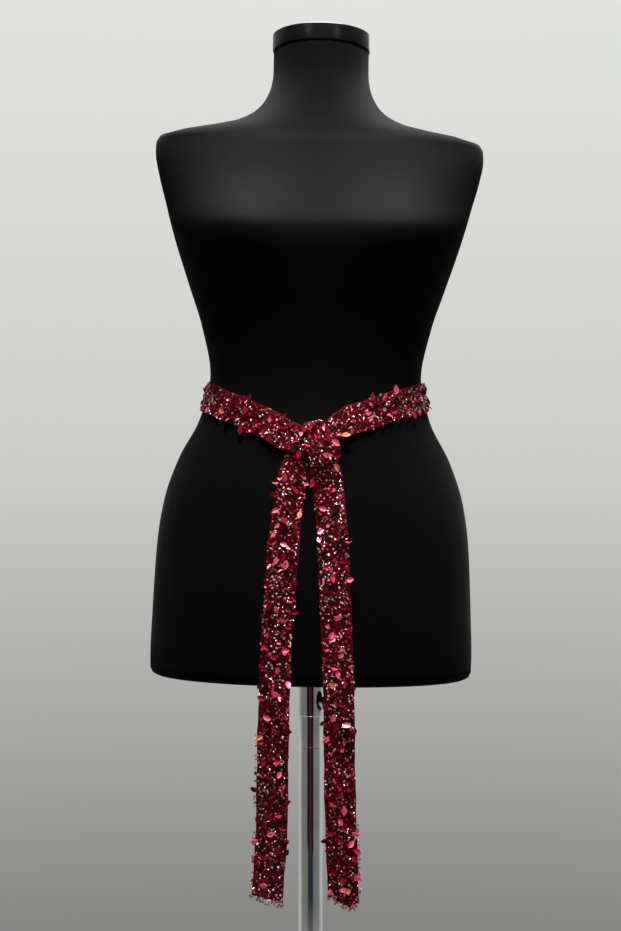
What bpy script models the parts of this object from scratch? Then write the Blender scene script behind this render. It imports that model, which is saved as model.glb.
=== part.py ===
"""Bridal sash tied in a half knot round the waist of a limbless dress form on a pole stand.

Metres, +Z up, the front towards -Y. The origin is on the pole's axis, at the underside of the base.
The form, its neck cap and the sash are built in the form's own frame, which stands at FORM_BOTTOM
and leans by FORM_LEAN about Y. Heights in the tables below are measured from that frame's origin.
"""

import math
from collections import namedtuple

import bmesh
import bpy
import numpy as np

# Stand
BASE_RADIUS = 0.160
BASE_THICKNESS = 0.008
SOCKET_RADIUS = 0.023
SOCKET_TOP = 0.036
POLE_RADIUS = 0.014
POLE_TOP = 0.950
COLLAR_RADIUS = 0.016
COLLAR_BOTTOM = 0.702
SCREW_HEIGHT = 0.718
SCREW_TURN = math.radians(60)
SCREW_SHANK_RADIUS = 0.003
KNOB_RADIUS = 0.0115
KNOB_START = 0.0208
KNOB_LENGTH = 0.015
GAP = 0.0003

# Dress form
FORM_BOTTOM = 0.750
FORM_LEAN = math.radians(1.0)
BORE_RADIUS = 0.0143
BORE_DEPTH = 0.415
NECK_CAP_RADIUS = 0.0574
NECK_CAP_THICKNESS = 0.019
BUST_SWELL = 0.019
BUST_SPACING = 0.092
BUST_HEIGHT = 0.503
SEAT_SWELL = 0.010
SEAT_SPACING = 0.085
SEAT_HEIGHT = 0.120
SHOULDER_DROP = 0.014
TORSO_SEGMENTS = 56
RING_STEP = 0.024
WAIST_RING_STEP = 0.0145
WAIST_FROM, WAIST_TO = 0.25, 0.40

Section = namedtuple("Section", "height half_width front back fullness")
TORSO = [
    Section(0.000, 0.1820, 0.1030, 0.1100, 2.2),
    Section(0.002, 0.1860, 0.1070, 0.1140, 2.2),
    Section(0.007, 0.1885, 0.1095, 0.1165, 2.2),
    Section(0.028, 0.1889, 0.1108, 0.1180, 2.2),
    Section(0.064, 0.1876, 0.1118, 0.1195, 2.2),
    Section(0.111, 0.1856, 0.1120, 0.1200, 2.2),
    Section(0.158, 0.1826, 0.1105, 0.1170, 2.2),
    Section(0.205, 0.1753, 0.1070, 0.1090, 2.2),
    Section(0.252, 0.1594, 0.1015, 0.0980, 2.2),
    Section(0.300, 0.1350, 0.0950, 0.0880, 2.2),
    Section(0.350, 0.1240, 0.0895, 0.0830, 2.2),
    Section(0.406, 0.1346, 0.0930, 0.0850, 2.2),
    Section(0.453, 0.1499, 0.1040, 0.0900, 2.4),
    Section(0.500, 0.1653, 0.1112, 0.0960, 2.8),
    Section(0.512, 0.1688, 0.1113, 0.0972, 2.9),
    Section(0.525, 0.1726, 0.1074, 0.0985, 3.0),
    Section(0.548, 0.1787, 0.0980, 0.1000, 3.0),
    Section(0.583, 0.1882, 0.0840, 0.0970, 3.0),
    Section(0.6068, 0.1924, 0.0755, 0.0900, 3.0),
    Section(0.6187, 0.1917, 0.0715, 0.0830, 3.1),
    Section(0.6233, 0.1880, 0.0692, 0.0790, 3.4),
    Section(0.6291, 0.1660, 0.0675, 0.0765, 3.6),
    Section(0.6345, 0.1350, 0.0660, 0.0740, 3.5),
    Section(0.6406, 0.1080, 0.0643, 0.0720, 3.2),
    Section(0.6534, 0.0820, 0.0615, 0.0670, 2.7),
    Section(0.6699, 0.0670, 0.0588, 0.0610, 2.3),
    Section(0.690, 0.0585, 0.0569, 0.0570, 2.05),
    Section(0.706, 0.0562, 0.0560, 0.0560, 2.0),
    Section(0.733, 0.0560, 0.0560, 0.0560, 2.0),
]

# Sash: one strip of beaded ribbon. Stand-off is from the form's face to the middle of the wall.
WALL = 0.0024
LYING = 0.0018
BAND_HALF = 0.0168
BELLY_HEIGHT = 0.100

# Waist band, from its end under the knot on the right, round the back, to its end over that one
Band = namedtuple("Band", "turn height stand_off half_width")
WAIST_BAND = [
    Band(3.0, 0.2785, 0.0044, 0.0095),
    Band(6.5, 0.2815, 0.0044, 0.0095),
    Band(14.0, 0.2893, 0.0044, 0.0136),
    Band(23.0, 0.2964, 0.0036, 0.0165),
    Band(31.0, 0.3015, 0.0020, BAND_HALF),
    Band(40.0, 0.3072, LYING, BAND_HALF),
    Band(56.0, 0.3178, LYING, BAND_HALF),
    Band(90.0, 0.3287, LYING, BAND_HALF),
    Band(135.0, 0.3345, LYING, BAND_HALF),
    Band(180.0, 0.3360, LYING, BAND_HALF),
    Band(225.0, 0.3330, LYING, BAND_HALF),
    Band(270.0, 0.3252, LYING, BAND_HALF),
    Band(291.0, 0.3192, LYING, BAND_HALF),
    Band(305.0, 0.3098, LYING, BAND_HALF),
    Band(318.0, 0.3005, LYING, BAND_HALF),
    Band(329.0, 0.2915, 0.0022, BAND_HALF),
    Band(338.0, 0.2826, 0.0042, 0.0170),
    Band(346.0, 0.2755, 0.0047, 0.0168),
    Band(351.6, 0.2719, 0.0052, 0.0152),
    Band(358.0, 0.2705, 0.0069, 0.0150),
    Band(364.0, 0.2700, 0.0071, 0.0150),
]

# Front tail: up behind the crossed bands, over their top edges, down as the knot's front and the tail
Stretch = namedtuple("Stretch", "height left right off_left off_right bulge tilt")
RISER = [
    Stretch(0.2620, 0.0000, 0.0180, LYING, LYING, 0.0, 0.0),
    Stretch(0.2700, -0.0030, 0.0160, LYING, LYING, 0.0, 0.05),
    Stretch(0.2780, -0.0080, 0.0140, LYING, LYING, 0.0, 0.10),
    Stretch(0.2860, -0.0125, 0.0110, LYING, LYING, 0.0, 0.20),
]
FOLD = Stretch(0.2905, -0.0134, 0.0096, 0.0100, 0.0100, 0.0, 0.20)
FALL = [
    Stretch(0.2840, -0.0131, 0.0160, 0.0106, 0.0086, 0.0010, 0.16),
    Stretch(0.2790, -0.0126, 0.0215, 0.0108, 0.0078, 0.0013, 0.08),
    Stretch(0.2742, -0.0120, 0.0256, 0.0108, 0.0074, 0.0016, 0.03),
    Stretch(0.2665, -0.0098, 0.0268, 0.0106, 0.0074, 0.0018, 0.0),
    Stretch(0.2590, -0.0075, 0.0262, 0.0104, 0.0072, 0.0018, 0.0),
    Stretch(0.2515, -0.0062, 0.0272, 0.0090, 0.0062, 0.0015, 0.0),
    Stretch(0.2445, -0.0056, 0.0292, 0.0062, 0.0044, 0.0010, 0.0),
    Stretch(0.2380, -0.0048, 0.0306, 0.0036, 0.0026, 0.0005, 0.0),
    Stretch(0.2300, -0.0036, 0.0318, LYING, LYING, 0.0002, 0.0),
    Stretch(0.2024, 0.0003, 0.0349, LYING, LYING, 0.0, 0.0),
    Stretch(0.1694, 0.0043, 0.0391, LYING, LYING, 0.0, 0.0),
    Stretch(0.1360, 0.0061, 0.0411, LYING, LYING, 0.0, 0.0),
    Stretch(0.0870, 0.0088, 0.0436, LYING, LYING, 0.0, 0.0),
    Stretch(0.0530, 0.0108, 0.0458, LYING, LYING, 0.0, 0.0),
    Stretch(-0.0130, 0.0144, 0.0490, LYING, LYING, 0.0, 0.0),
    Stretch(-0.0780, 0.0160, 0.0507, LYING, LYING, 0.0, 0.0),
    Stretch(-0.1440, 0.0186, 0.0533, LYING, LYING, 0.0, 0.0),
    Stretch(-0.2340, 0.0232, 0.0576, LYING, LYING, 0.0, 0.0),
]
FRONT_END = (0.0050, 0.0035, 0.0, -0.0045, -0.0070, -0.0050, -0.0005)

# Under tail: from behind the band's lower edge down, left of the front tail
UNDER_TAIL = [
    Stretch(0.2680, -0.0290, -0.0095, LYING, LYING, 0.0, 0.0),
    Stretch(0.2520, -0.0344, -0.0078, LYING, LYING, 0.0, 0.0),
    Stretch(0.2355, -0.0392, -0.0062, LYING, LYING, 0.0, 0.0),
    Stretch(0.2024, -0.0442, -0.0116, LYING, LYING, 0.0, 0.0),
    Stretch(0.1694, -0.0486, -0.0138, LYING, LYING, 0.0, 0.0),
    Stretch(0.1360, -0.0514, -0.0164, LYING, LYING, 0.0, 0.0),
    Stretch(0.0865, -0.0538, -0.0182, LYING, LYING, 0.0, 0.0),
    Stretch(0.0530, -0.0562, -0.0210, LYING, LYING, 0.0, 0.0),
    Stretch(-0.0130, -0.0571, -0.0225, LYING, LYING, 0.0, 0.0),
    Stretch(-0.0780, -0.0580, -0.0229, LYING, LYING, 0.0, 0.0),
    Stretch(-0.1440, -0.0578, -0.0226, LYING, LYING, 0.0, 0.0),
    Stretch(-0.2330, -0.0612, -0.0264, LYING, LYING, 0.0, 0.0),
]
UNDER_END = (0.0040, 0.0028, 0.0012, 0.0, -0.0014, -0.0030, -0.0042)


def slopes(keys, values):
    """Slope of each column at each row, zero where a column turns, so that nothing overshoots."""
    rises = np.diff(values, axis=0) / np.diff(keys)[:, None]
    product = rises[:-1] * rises[1:]
    total = rises[:-1] + rises[1:]
    inner = np.where(product > 0, 2 * product / np.where(product > 0, total, 1), 0)
    return np.vstack([rises[:1], inner, rises[-1:]])


class Table:
    """Smooth columns over a rising first column."""

    def __init__(self, rows):
        rows = np.array(rows, float)
        rows = rows[np.argsort(rows[:, 0])]
        self.keys = rows[:, 0]
        self.values = rows[:, 1:]
        self.slopes = slopes(self.keys, self.values)

    def at(self, key):
        i = int(np.clip(np.searchsorted(self.keys, key) - 1, 0, len(self.keys) - 2))
        step = self.keys[i + 1] - self.keys[i]
        t = min(max((key - self.keys[i]) / step, 0.0), 1.0)
        start = (1 + 2 * t) * (1 - t) ** 2 * self.values[i] + t * (1 - t) ** 2 * step * self.slopes[i]
        end = t * t * (3 - 2 * t) * self.values[i + 1] - t * t * (1 - t) * step * self.slopes[i + 1]
        return start + end

    def keys_between(self, cuts):
        """The table's own keys and evenly spaced ones between each two."""
        spans = zip(self.keys[:-1], self.keys[1:])
        inner = [a + (b - a) * k / cuts for a, b in spans for k in range(cuts)]
        return inner + [self.keys[-1]]


sections = Table(TORSO)


def ramp(value, start, end):
    t = min(max((value - start) / (end - start), 0.0), 1.0)
    return t * t * (3 - 2 * t)


def lobes(x, height, spacing, at_height, width, tall):
    across = math.exp(-(((abs(x) - spacing) / width) ** 2))
    return across * math.exp(-(((height - at_height) / tall) ** 2))


def form_point(turn, height):
    """A point of the form's face. Turn is from the front, towards +X, in radians."""
    half_width, front, back, fullness = sections.at(height)
    across, ahead = math.sin(turn), math.cos(turn)
    depth = front if ahead > 0 else back
    terms = (abs(across) / half_width) ** fullness + (abs(ahead) / depth) ** fullness
    reach = terms ** (-1 / fullness)
    x, y = reach * across, -reach * ahead
    if ahead > 0:
        y -= BUST_SWELL * ahead * lobes(x, height, BUST_SPACING, BUST_HEIGHT, 0.050, 0.046)
    else:
        y -= SEAT_SWELL * ahead * lobes(x, height, SEAT_SPACING, SEAT_HEIGHT, 0.060, 0.070)
    drop = SHOULDER_DROP * x * ramp(height, 0.50, 0.62) * (1 - ramp(height, 0.67, 0.72))
    return np.array([x, y, height - drop])


def form_normal(turn, height):
    step = 0.002
    around = form_point(turn + step, height) - form_point(turn - step, height)
    upward = form_point(turn, height + step) - form_point(turn, height - step)
    normal = np.cross(around, upward)
    return normal / np.linalg.norm(normal)


def off_form(point, stand_off):
    """The face point at this point's turn and height, moved out along the face's normal."""
    turn = math.atan2(point[0], -point[1])
    return form_point(turn, point[2]) + stand_off * form_normal(turn, point[2])


def front_y(x, height):
    """Y of the form's front face below the bust, and of its most forward line below the belly."""
    half_width, front, _, fullness = sections.at(max(height, BELLY_HEIGHT))
    return -front * (1 - (abs(x) / half_width) ** fullness) ** (1 / fullness)


def material(name, colour, roughness, metallic=0.0):
    made = bpy.data.materials.new(name)
    made.use_nodes = True
    shader = made.node_tree.nodes["Principled BSDF"]
    shader.inputs["Base Color"].default_value = (*colour, 1.0)
    shader.inputs["Roughness"].default_value = roughness
    shader.inputs["Metallic"].default_value = metallic
    made.diffuse_color = (*colour, 1.0)
    return made


def add_object(name, points, faces, finish, smooth=True):
    mesh = bpy.data.meshes.new(name)
    mesh.from_pydata([tuple(p) for p in points], [], faces)
    shape = bmesh.new()
    shape.from_mesh(mesh)
    bmesh.ops.recalc_face_normals(shape, faces=shape.faces)
    shape.to_mesh(mesh)
    shape.free()
    for polygon in mesh.polygons:
        polygon.use_smooth = smooth
    if finish:
        mesh.materials.append(finish)
    made = bpy.data.objects.new(name, mesh)
    bpy.context.scene.collection.objects.link(made)
    return made


def turned(name, profile, finish, segments=48):
    """A solid of revolution about Z from (radius, height) pairs that start and end on the axis."""
    points, rings, faces = [], [], []
    for radius, height in profile:
        count = segments if radius > 0 else 1
        rings.append([len(points) + k for k in range(count)])
        for k in range(count):
            angle = 2 * math.pi * k / segments
            points.append((radius * math.cos(angle), radius * math.sin(angle), height))
    for lower, upper in zip(rings, rings[1:]):
        for k in range(segments):
            corners = [
                lower[k % len(lower)],
                lower[(k + 1) % len(lower)],
                upper[(k + 1) % len(upper)],
                upper[k % len(upper)],
            ]
            faces.append(list(dict.fromkeys(corners)))
    return add_object(name, points, faces, finish)


def rounded(radius, low, high, corner, steps=3):
    """The profile of a disc or rod with rounded edges."""
    turns = [math.pi / 2 * k / steps for k in range(steps + 1)]
    inner = radius - corner
    lower = [(inner + corner * math.sin(a), low + corner * (1 - math.cos(a))) for a in turns]
    upper = [(inner + corner * math.cos(a), high - corner * (1 - math.sin(a))) for a in turns]
    return [(0, low), *lower, *upper, (0, high)]


def helper(made):
    made.hide_render = True
    made.display_type = "WIRE"
    return made


def combine(made, other, operation):
    step = made.modifiers.new(operation.lower(), "BOOLEAN")
    step.operation = operation
    step.solver = "EXACT"
    step.object = other


def ribbon(name, middle, finish):
    """A wall of cloth around a grid of points: rows along the strip, columns across it."""
    middle = np.array(middle)
    along = np.gradient(middle, axis=0)
    across = np.gradient(middle, axis=1)
    normal = np.cross(along, across)
    normal /= np.linalg.norm(normal, axis=2)[..., None]
    rows, columns = middle.shape[:2]
    loops = np.concatenate([middle + normal * WALL / 2, (middle - normal * WALL / 2)[:, ::-1]], axis=1)
    count = 2 * columns
    faces = [list(range(count)), [(rows - 1) * count + k for k in range(count)]]
    for i in range(rows - 1):
        for k in range(count):
            after = (k + 1) % count
            low, high = i * count, (i + 1) * count
            faces.append([low + k, low + after, high + after, high + k])
    caps = []
    for start in (0, (rows - 1) * count):
        for k in range(columns - 1):
            caps.append([start + k, start + k + 1, start + count - 2 - k, start + count - 1 - k])
    return add_object(name, loops.reshape(-1, 3), caps + faces[2:], finish)


def band_grid(cuts=4, columns=5):
    table = Table(WAIST_BAND)
    keys = table.keys_between(cuts)
    # Long spans at the sides and back take shorter steps, so that the wall follows the waist
    turns = [keys[0]]
    for key in keys[1:]:
        pieces = max(1, math.ceil((key - turns[-1]) / 5.0))
        turns += [turns[-1] + (key - turns[-1]) * (k + 1) / pieces for k in range(pieces)]
    turns = [t for k, t in enumerate(turns) if k == 0 or t - turns[k - 1] > 0.4]
    grid = []
    for turn in turns:
        height, stand_off, half_width = table.at(turn)
        angle = math.radians(turn)
        centre = form_point(angle, height)
        ahead_key = min(turn + 1.0, turns[-1])
        behind_key = max(turn - 1.0, turns[0])
        ahead = form_point(math.radians(ahead_key), table.at(ahead_key)[0])
        behind = form_point(math.radians(behind_key), table.at(behind_key)[0])
        run = (ahead - behind) / np.linalg.norm(ahead - behind)
        up = np.cross(form_normal(angle, height), run)
        row = []
        for k in range(columns):
            share = 2 * k / (columns - 1) - 1
            row.append(off_form(centre + share * half_width * up, stand_off))
        grid.append(row)
    return grid


def stretch_row(height, left, right, off_left, off_right, bulge, tilt, columns):
    row = []
    for k in range(columns):
        share = k / (columns - 1)
        x = left + share * (right - left)
        rise = tilt * (x - (left + right) / 2)
        off = off_left + share * (off_right - off_left) + bulge * 4 * share * (1 - share)
        z = height + rise
        row.append(np.array([x, front_y(x, z) - off, z]))
    return row


def hanging_grid(rows, ends, step=0.016, columns=7):
    """Rows of a tail from its top row down, with its cut end following the given drops."""
    table = Table(rows)
    heights = [rows[0].height]
    for row in rows[1:]:
        pieces = max(1, round((heights[-1] - row.height) / step))
        start = heights[-1]
        heights += [start + (row.height - start) * (k + 1) / pieces for k in range(pieces)]
    grid = [stretch_row(height, *table.at(height), columns) for height in heights]
    bottom = rows[-1].height
    for row in grid:
        near_end = 1 - ramp(row[0][2], bottom, bottom + 0.030)
        for point, drop in zip(row, ends):
            point[2] += near_end * drop
    return grid


def front_grid(columns=7, fold_steps=6):
    grid = [stretch_row(*row, columns) for row in RISER]
    radius = (FOLD.off_left - LYING) / 2
    middle = (FOLD.off_left + LYING) / 2
    for k in range(fold_steps + 1):
        angle = math.pi * k / fold_steps
        off = middle - radius * math.cos(angle)
        rise = radius * math.sin(angle)
        grid.append(
            [
                point + np.array([0, 0, rise])
                for point in stretch_row(
                    FOLD.height, FOLD.left, FOLD.right, off, off, 0.0, FOLD.tilt, columns
                )
            ]
        )
    return grid + hanging_grid(FALL, FRONT_END, columns=columns)


def torso_mesh(finish):
    heights = []
    for low, high in zip(TORSO, TORSO[1:]):
        span = high.height - low.height
        at_waist = WAIST_FROM < low.height < WAIST_TO
        pieces = math.ceil(span / (WAIST_RING_STEP if at_waist else RING_STEP))
        heights += [low.height + span * k / pieces for k in range(pieces)]
    heights.append(TORSO[-1].height)
    points, faces = [], []
    for height in heights:
        for k in range(TORSO_SEGMENTS):
            points.append(form_point(2 * math.pi * k / TORSO_SEGMENTS, height))
    for i in range(len(heights) - 1):
        for k in range(TORSO_SEGMENTS):
            after = (k + 1) % TORSO_SEGMENTS
            low, high = i * TORSO_SEGMENTS, (i + 1) * TORSO_SEGMENTS
            faces.append([low + k, low + after, high + after, high + k])
    faces.append(list(range(TORSO_SEGMENTS)))
    top = (len(heights) - 1) * TORSO_SEGMENTS
    faces.append([top + k for k in range(TORSO_SEGMENTS)])
    return add_object("torso", points, faces, finish)


for old in list(bpy.data.objects):
    bpy.data.objects.remove(old, do_unlink=True)

sash_cloth = material("sash_cloth", (0.23, 0.012, 0.028), 0.45)
jersey = material("form_jersey", (0.012, 0.012, 0.015), 0.85)
cap_gloss = material("cap_gloss", (0.010, 0.010, 0.012), 0.25)
chrome = material("chrome", (0.75, 0.76, 0.78), 0.08, 1.0)
black_plastic = material("screw_plastic", (0.010, 0.010, 0.011), 0.40)

# The form's frame, on the swivel's axis
form_frame = bpy.data.objects.new("form_frame", None)
form_frame.location = (0, 0, FORM_BOTTOM)
form_frame.rotation_euler = (0, FORM_LEAN, 0)
bpy.context.scene.collection.objects.link(form_frame)

torso = torso_mesh(jersey)
torso.parent = form_frame
bore = helper(turned("pole_bore", [(0, -0.03), (BORE_RADIUS, -0.03), (BORE_RADIUS, BORE_DEPTH), (0, BORE_DEPTH)], None))
bore.location = (0, 0, FORM_BOTTOM)
combine(torso, bore, "DIFFERENCE")

cap_low = TORSO[-1].height + GAP
neck_cap = turned("neck_cap", rounded(NECK_CAP_RADIUS, cap_low, cap_low + NECK_CAP_THICKNESS, 0.0025), cap_gloss, 60)
neck_cap.parent = form_frame

ribbon("sash_waist_band", band_grid(), sash_cloth).parent = form_frame
ribbon("sash_front_tail", front_grid(), sash_cloth).parent = form_frame
ribbon("sash_under_tail", hanging_grid(UNDER_TAIL, UNDER_END), sash_cloth).parent = form_frame

# Stand: base plate, socket ring and pole
turned("base_plate", rounded(BASE_RADIUS, 0.0, BASE_THICKNESS, 0.0025), chrome, 72)
socket_low = BASE_THICKNESS + GAP
socket = turned("base_socket", rounded(SOCKET_RADIUS, socket_low, SOCKET_TOP, 0.002), chrome)
socket_bore = helper(
    turned("socket_bore", [(0, 0), (POLE_RADIUS + GAP, 0), (POLE_RADIUS + GAP, 0.1), (0, 0.1)], None)
)
combine(socket, socket_bore, "DIFFERENCE")
turned("pole", rounded(POLE_RADIUS, socket_low, POLE_TOP, 0.001), chrome)

# Clamp: a collar round the pole under the form, with a boss for its thumb screw
collar_top = FORM_BOTTOM - 2 * GAP
collar = turned("clamp_collar", rounded(COLLAR_RADIUS, COLLAR_BOTTOM, collar_top, 0.0008), chrome)
boss = helper(turned("screw_boss", [(0, 0.008), (0.0062, 0.008), (0.0062, 0.0200), (0, 0.0200)], None, 24))
collar_bore = helper(
    turned("collar_bore", [(0, 0.6), (POLE_RADIUS + GAP, 0.6), (POLE_RADIUS + GAP, 0.8), (0, 0.8)], None)
)
screw_hole_radius = SCREW_SHANK_RADIUS + GAP
screw_hole = helper(
    turned("screw_hole", [(0, 0.004), (screw_hole_radius, 0.004), (screw_hole_radius, 0.03), (0, 0.03)], None, 24)
)
combine(collar, boss, "UNION")
combine(collar, collar_bore, "DIFFERENCE")
combine(collar, screw_hole, "DIFFERENCE")

knob_end = KNOB_START + KNOB_LENGTH
screw_start = POLE_RADIUS + GAP
screw_profile = [
    (0, screw_start),
    (SCREW_SHANK_RADIUS, screw_start),
    (SCREW_SHANK_RADIUS, KNOB_START),
    (KNOB_RADIUS - 0.0015, KNOB_START),
    (KNOB_RADIUS, KNOB_START + 0.0015),
    (KNOB_RADIUS, knob_end - 0.002),
    (KNOB_RADIUS - 0.002, knob_end),
    (0, knob_end),
]
thumb_screw = turned("thumb_screw", screw_profile, black_plastic, 32)
for piece in (boss, screw_hole, thumb_screw):
    piece.location = (0, 0, SCREW_HEIGHT)
    piece.rotation_euler = (math.pi / 2, 0, SCREW_TURN)
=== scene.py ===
"""Looks of a beaded bridal sash, tied in a half knot round the waist of a dress form on a pole stand.

Metres, +Z up, the front towards -Y. The form and the sash are worked out in the form's own frame,
which stands at FORM_BOTTOM and leans by FORM_LEAN about Y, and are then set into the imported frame.
"""

import math
from collections import namedtuple

import bpy
import numpy as np
from mathutils import Matrix, Vector


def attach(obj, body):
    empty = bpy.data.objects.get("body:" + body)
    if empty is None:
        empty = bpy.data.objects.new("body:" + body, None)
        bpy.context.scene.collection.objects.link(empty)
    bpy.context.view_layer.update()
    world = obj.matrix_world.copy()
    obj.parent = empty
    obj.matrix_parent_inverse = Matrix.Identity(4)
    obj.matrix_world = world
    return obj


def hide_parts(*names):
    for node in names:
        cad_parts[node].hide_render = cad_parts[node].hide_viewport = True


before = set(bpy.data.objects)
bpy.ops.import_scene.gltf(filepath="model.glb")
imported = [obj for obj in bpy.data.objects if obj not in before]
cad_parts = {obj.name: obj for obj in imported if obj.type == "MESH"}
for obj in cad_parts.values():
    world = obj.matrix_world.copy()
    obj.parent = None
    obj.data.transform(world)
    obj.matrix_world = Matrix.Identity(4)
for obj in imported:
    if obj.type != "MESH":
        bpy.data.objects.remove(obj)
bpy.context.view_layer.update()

# Dress form. A limbless foam torso under a black jersey cover, which is pulled tight over it and
# sewn up the back. It is bored for the pole, turns on the clamp collar and leans by a degree.
FORM_BOTTOM = 0.750
FORM_LEAN = math.radians(1.0)
BORE_RADIUS = 0.0143
BORE_DEPTH = 0.415
Lobes = namedtuple("Lobes", "swell spacing height width tall")
BUST = Lobes(0.019, 0.092, 0.503, 0.050, 0.046)
SEAT = Lobes(0.010, 0.085, 0.120, 0.060, 0.070)
SHOULDER_DROP, SHOULDER_RISE, NECK_RISE = 0.014, (0.50, 0.62), (0.67, 0.72)
BELLY_HEIGHT = 0.100
COVER_SEGMENTS = 128
COVER_RING_STEP = 0.008
# The underside's edge as a share of the hem, and how far up the cut cover each ring lies
UNDER_INSET, UNDER_RISES, WALL_RISE = 0.97, (0.002, 0.010, 0.10), 0.11

Section = namedtuple("Section", "height half_width front back fullness")
TORSO = [
    Section(0.000, 0.1820, 0.1030, 0.1100, 2.2),
    Section(0.002, 0.1860, 0.1070, 0.1140, 2.2),
    Section(0.007, 0.1885, 0.1095, 0.1165, 2.2),
    Section(0.028, 0.1889, 0.1108, 0.1180, 2.2),
    Section(0.064, 0.1876, 0.1118, 0.1195, 2.2),
    Section(0.111, 0.1856, 0.1120, 0.1200, 2.2),
    Section(0.158, 0.1826, 0.1105, 0.1170, 2.2),
    Section(0.205, 0.1753, 0.1070, 0.1090, 2.2),
    Section(0.252, 0.1594, 0.1015, 0.0980, 2.2),
    Section(0.300, 0.1350, 0.0950, 0.0880, 2.2),
    Section(0.350, 0.1240, 0.0895, 0.0830, 2.2),
    Section(0.406, 0.1346, 0.0930, 0.0850, 2.2),
    Section(0.453, 0.1499, 0.1040, 0.0900, 2.4),
    Section(0.500, 0.1653, 0.1112, 0.0960, 2.8),
    Section(0.512, 0.1688, 0.1113, 0.0972, 2.9),
    Section(0.525, 0.1726, 0.1074, 0.0985, 3.0),
    Section(0.548, 0.1787, 0.0980, 0.1000, 3.0),
    Section(0.583, 0.1882, 0.0840, 0.0970, 3.0),
    Section(0.6068, 0.1924, 0.0755, 0.0900, 3.0),
    Section(0.6187, 0.1917, 0.0715, 0.0830, 3.1),
    Section(0.6233, 0.1880, 0.0692, 0.0790, 3.4),
    Section(0.6291, 0.1660, 0.0675, 0.0765, 3.6),
    Section(0.6345, 0.1350, 0.0660, 0.0740, 3.5),
    Section(0.6406, 0.1080, 0.0643, 0.0720, 3.2),
    Section(0.6534, 0.0820, 0.0615, 0.0670, 2.7),
    Section(0.6699, 0.0670, 0.0588, 0.0610, 2.3),
    Section(0.690, 0.0585, 0.0569, 0.0570, 2.05),
    Section(0.706, 0.0562, 0.0560, 0.0560, 2.0),
    Section(0.733, 0.0560, 0.0560, 0.0560, 2.0),
]

form_frame = Matrix.Translation((0, 0, FORM_BOTTOM)) @ Matrix.Rotation(FORM_LEAN, 4, "Y")


def slopes(keys, values):
    """Slope of each column at each row, zero where a column turns, so that nothing overshoots."""
    rises = np.diff(values, axis=0) / np.diff(keys)[:, None]
    product = rises[:-1] * rises[1:]
    total = rises[:-1] + rises[1:]
    inner = np.where(product > 0, 2 * product / np.where(product > 0, total, 1), 0)
    return np.vstack([rises[:1], inner, rises[-1:]])


class Table:
    """Smooth columns over a rising first column."""

    def __init__(self, rows):
        rows = np.array(rows, float)
        rows = rows[np.argsort(rows[:, 0])]
        self.keys = rows[:, 0]
        self.values = rows[:, 1:]
        self.slopes = slopes(self.keys, self.values)

    def at(self, key):
        i = int(np.clip(np.searchsorted(self.keys, key) - 1, 0, len(self.keys) - 2))
        step = self.keys[i + 1] - self.keys[i]
        t = min(max((key - self.keys[i]) / step, 0.0), 1.0)
        start = (1 + 2 * t) * (1 - t) ** 2 * self.values[i] + t * (1 - t) ** 2 * step * self.slopes[i]
        end = t * t * (3 - 2 * t) * self.values[i + 1] - t * t * (1 - t) * step * self.slopes[i + 1]
        return start + end


sections = Table(TORSO)


def ramp(value, start, end):
    t = min(max((value - start) / (end - start), 0.0), 1.0)
    return t * t * (3 - 2 * t)


def lobe_share(x, height, pair):
    """How much of its swell a left and right pair of lobes has here, from 0 to 1."""
    across = math.exp(-(((abs(x) - pair.spacing) / pair.width) ** 2))
    return across * math.exp(-(((height - pair.height) / pair.tall) ** 2))


def form_point(turn, height):
    """A point of the form's face. Turn is from the front, towards +X, in radians."""
    half_width, front, back, fullness = sections.at(height)
    across, ahead = math.sin(turn), math.cos(turn)
    depth = front if ahead > 0 else back
    terms = (abs(across) / half_width) ** fullness + (abs(ahead) / depth) ** fullness
    reach = terms ** (-1 / fullness)
    x, y = reach * across, -reach * ahead
    pair = BUST if ahead > 0 else SEAT
    y -= pair.swell * ahead * lobe_share(x, height, pair)
    drop = SHOULDER_DROP * x * ramp(height, *SHOULDER_RISE) * (1 - ramp(height, *NECK_RISE))
    return np.array([x, y, height - drop])


def form_normal(turn, height):
    step = 0.002
    around = form_point(turn + step, height) - form_point(turn - step, height)
    upward = form_point(turn, height + step) - form_point(turn, height - step)
    normal = np.cross(around, upward)
    return normal / np.linalg.norm(normal)


def off_form(point, stand_off):
    """The face point at this point's turn and height, moved out along the face's normal."""
    turn = math.atan2(point[0], -point[1])
    return form_point(turn, point[2]) + stand_off * form_normal(turn, point[2])


def front_y(x, height):
    """Y of the form's front face below the bust, and of its most forward line below the belly."""
    half_width, front, _, fullness = sections.at(max(height, BELLY_HEIGHT))
    return -front * (1 - (abs(x) / half_width) ** fullness) ** (1 / fullness)


def in_place(points):
    """Points of the form's own frame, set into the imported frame."""
    points = np.asarray(points, float).reshape(-1, 3)
    turn = np.array(form_frame.to_3x3())
    return points @ turn.T + np.array(form_frame.translation)


def put(name, data):
    made = bpy.data.objects.new(name, data)
    bpy.context.scene.collection.objects.link(made)
    return made


def circle(radius, count):
    turns = [2 * math.pi * k / count for k in range(count)]
    return [(radius * math.cos(turn), radius * math.sin(turn)) for turn in turns]


def add_piece(name, points, faces, finish, uv=None, smooth=True):
    """A mesh object at the origin. UVs are one pair for each corner, in the faces' order."""
    mesh = bpy.data.meshes.new(name)
    mesh.from_pydata([tuple(p) for p in points], [], faces)
    if uv is not None:
        layer = mesh.uv_layers.new(name="cut")
        layer.data.foreach_set("uv", np.asarray(uv, np.float32).ravel())
    mesh.polygons.foreach_set("use_smooth", [smooth] * len(mesh.polygons))
    mesh.materials.append(finish)
    return put(name, mesh)


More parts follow.
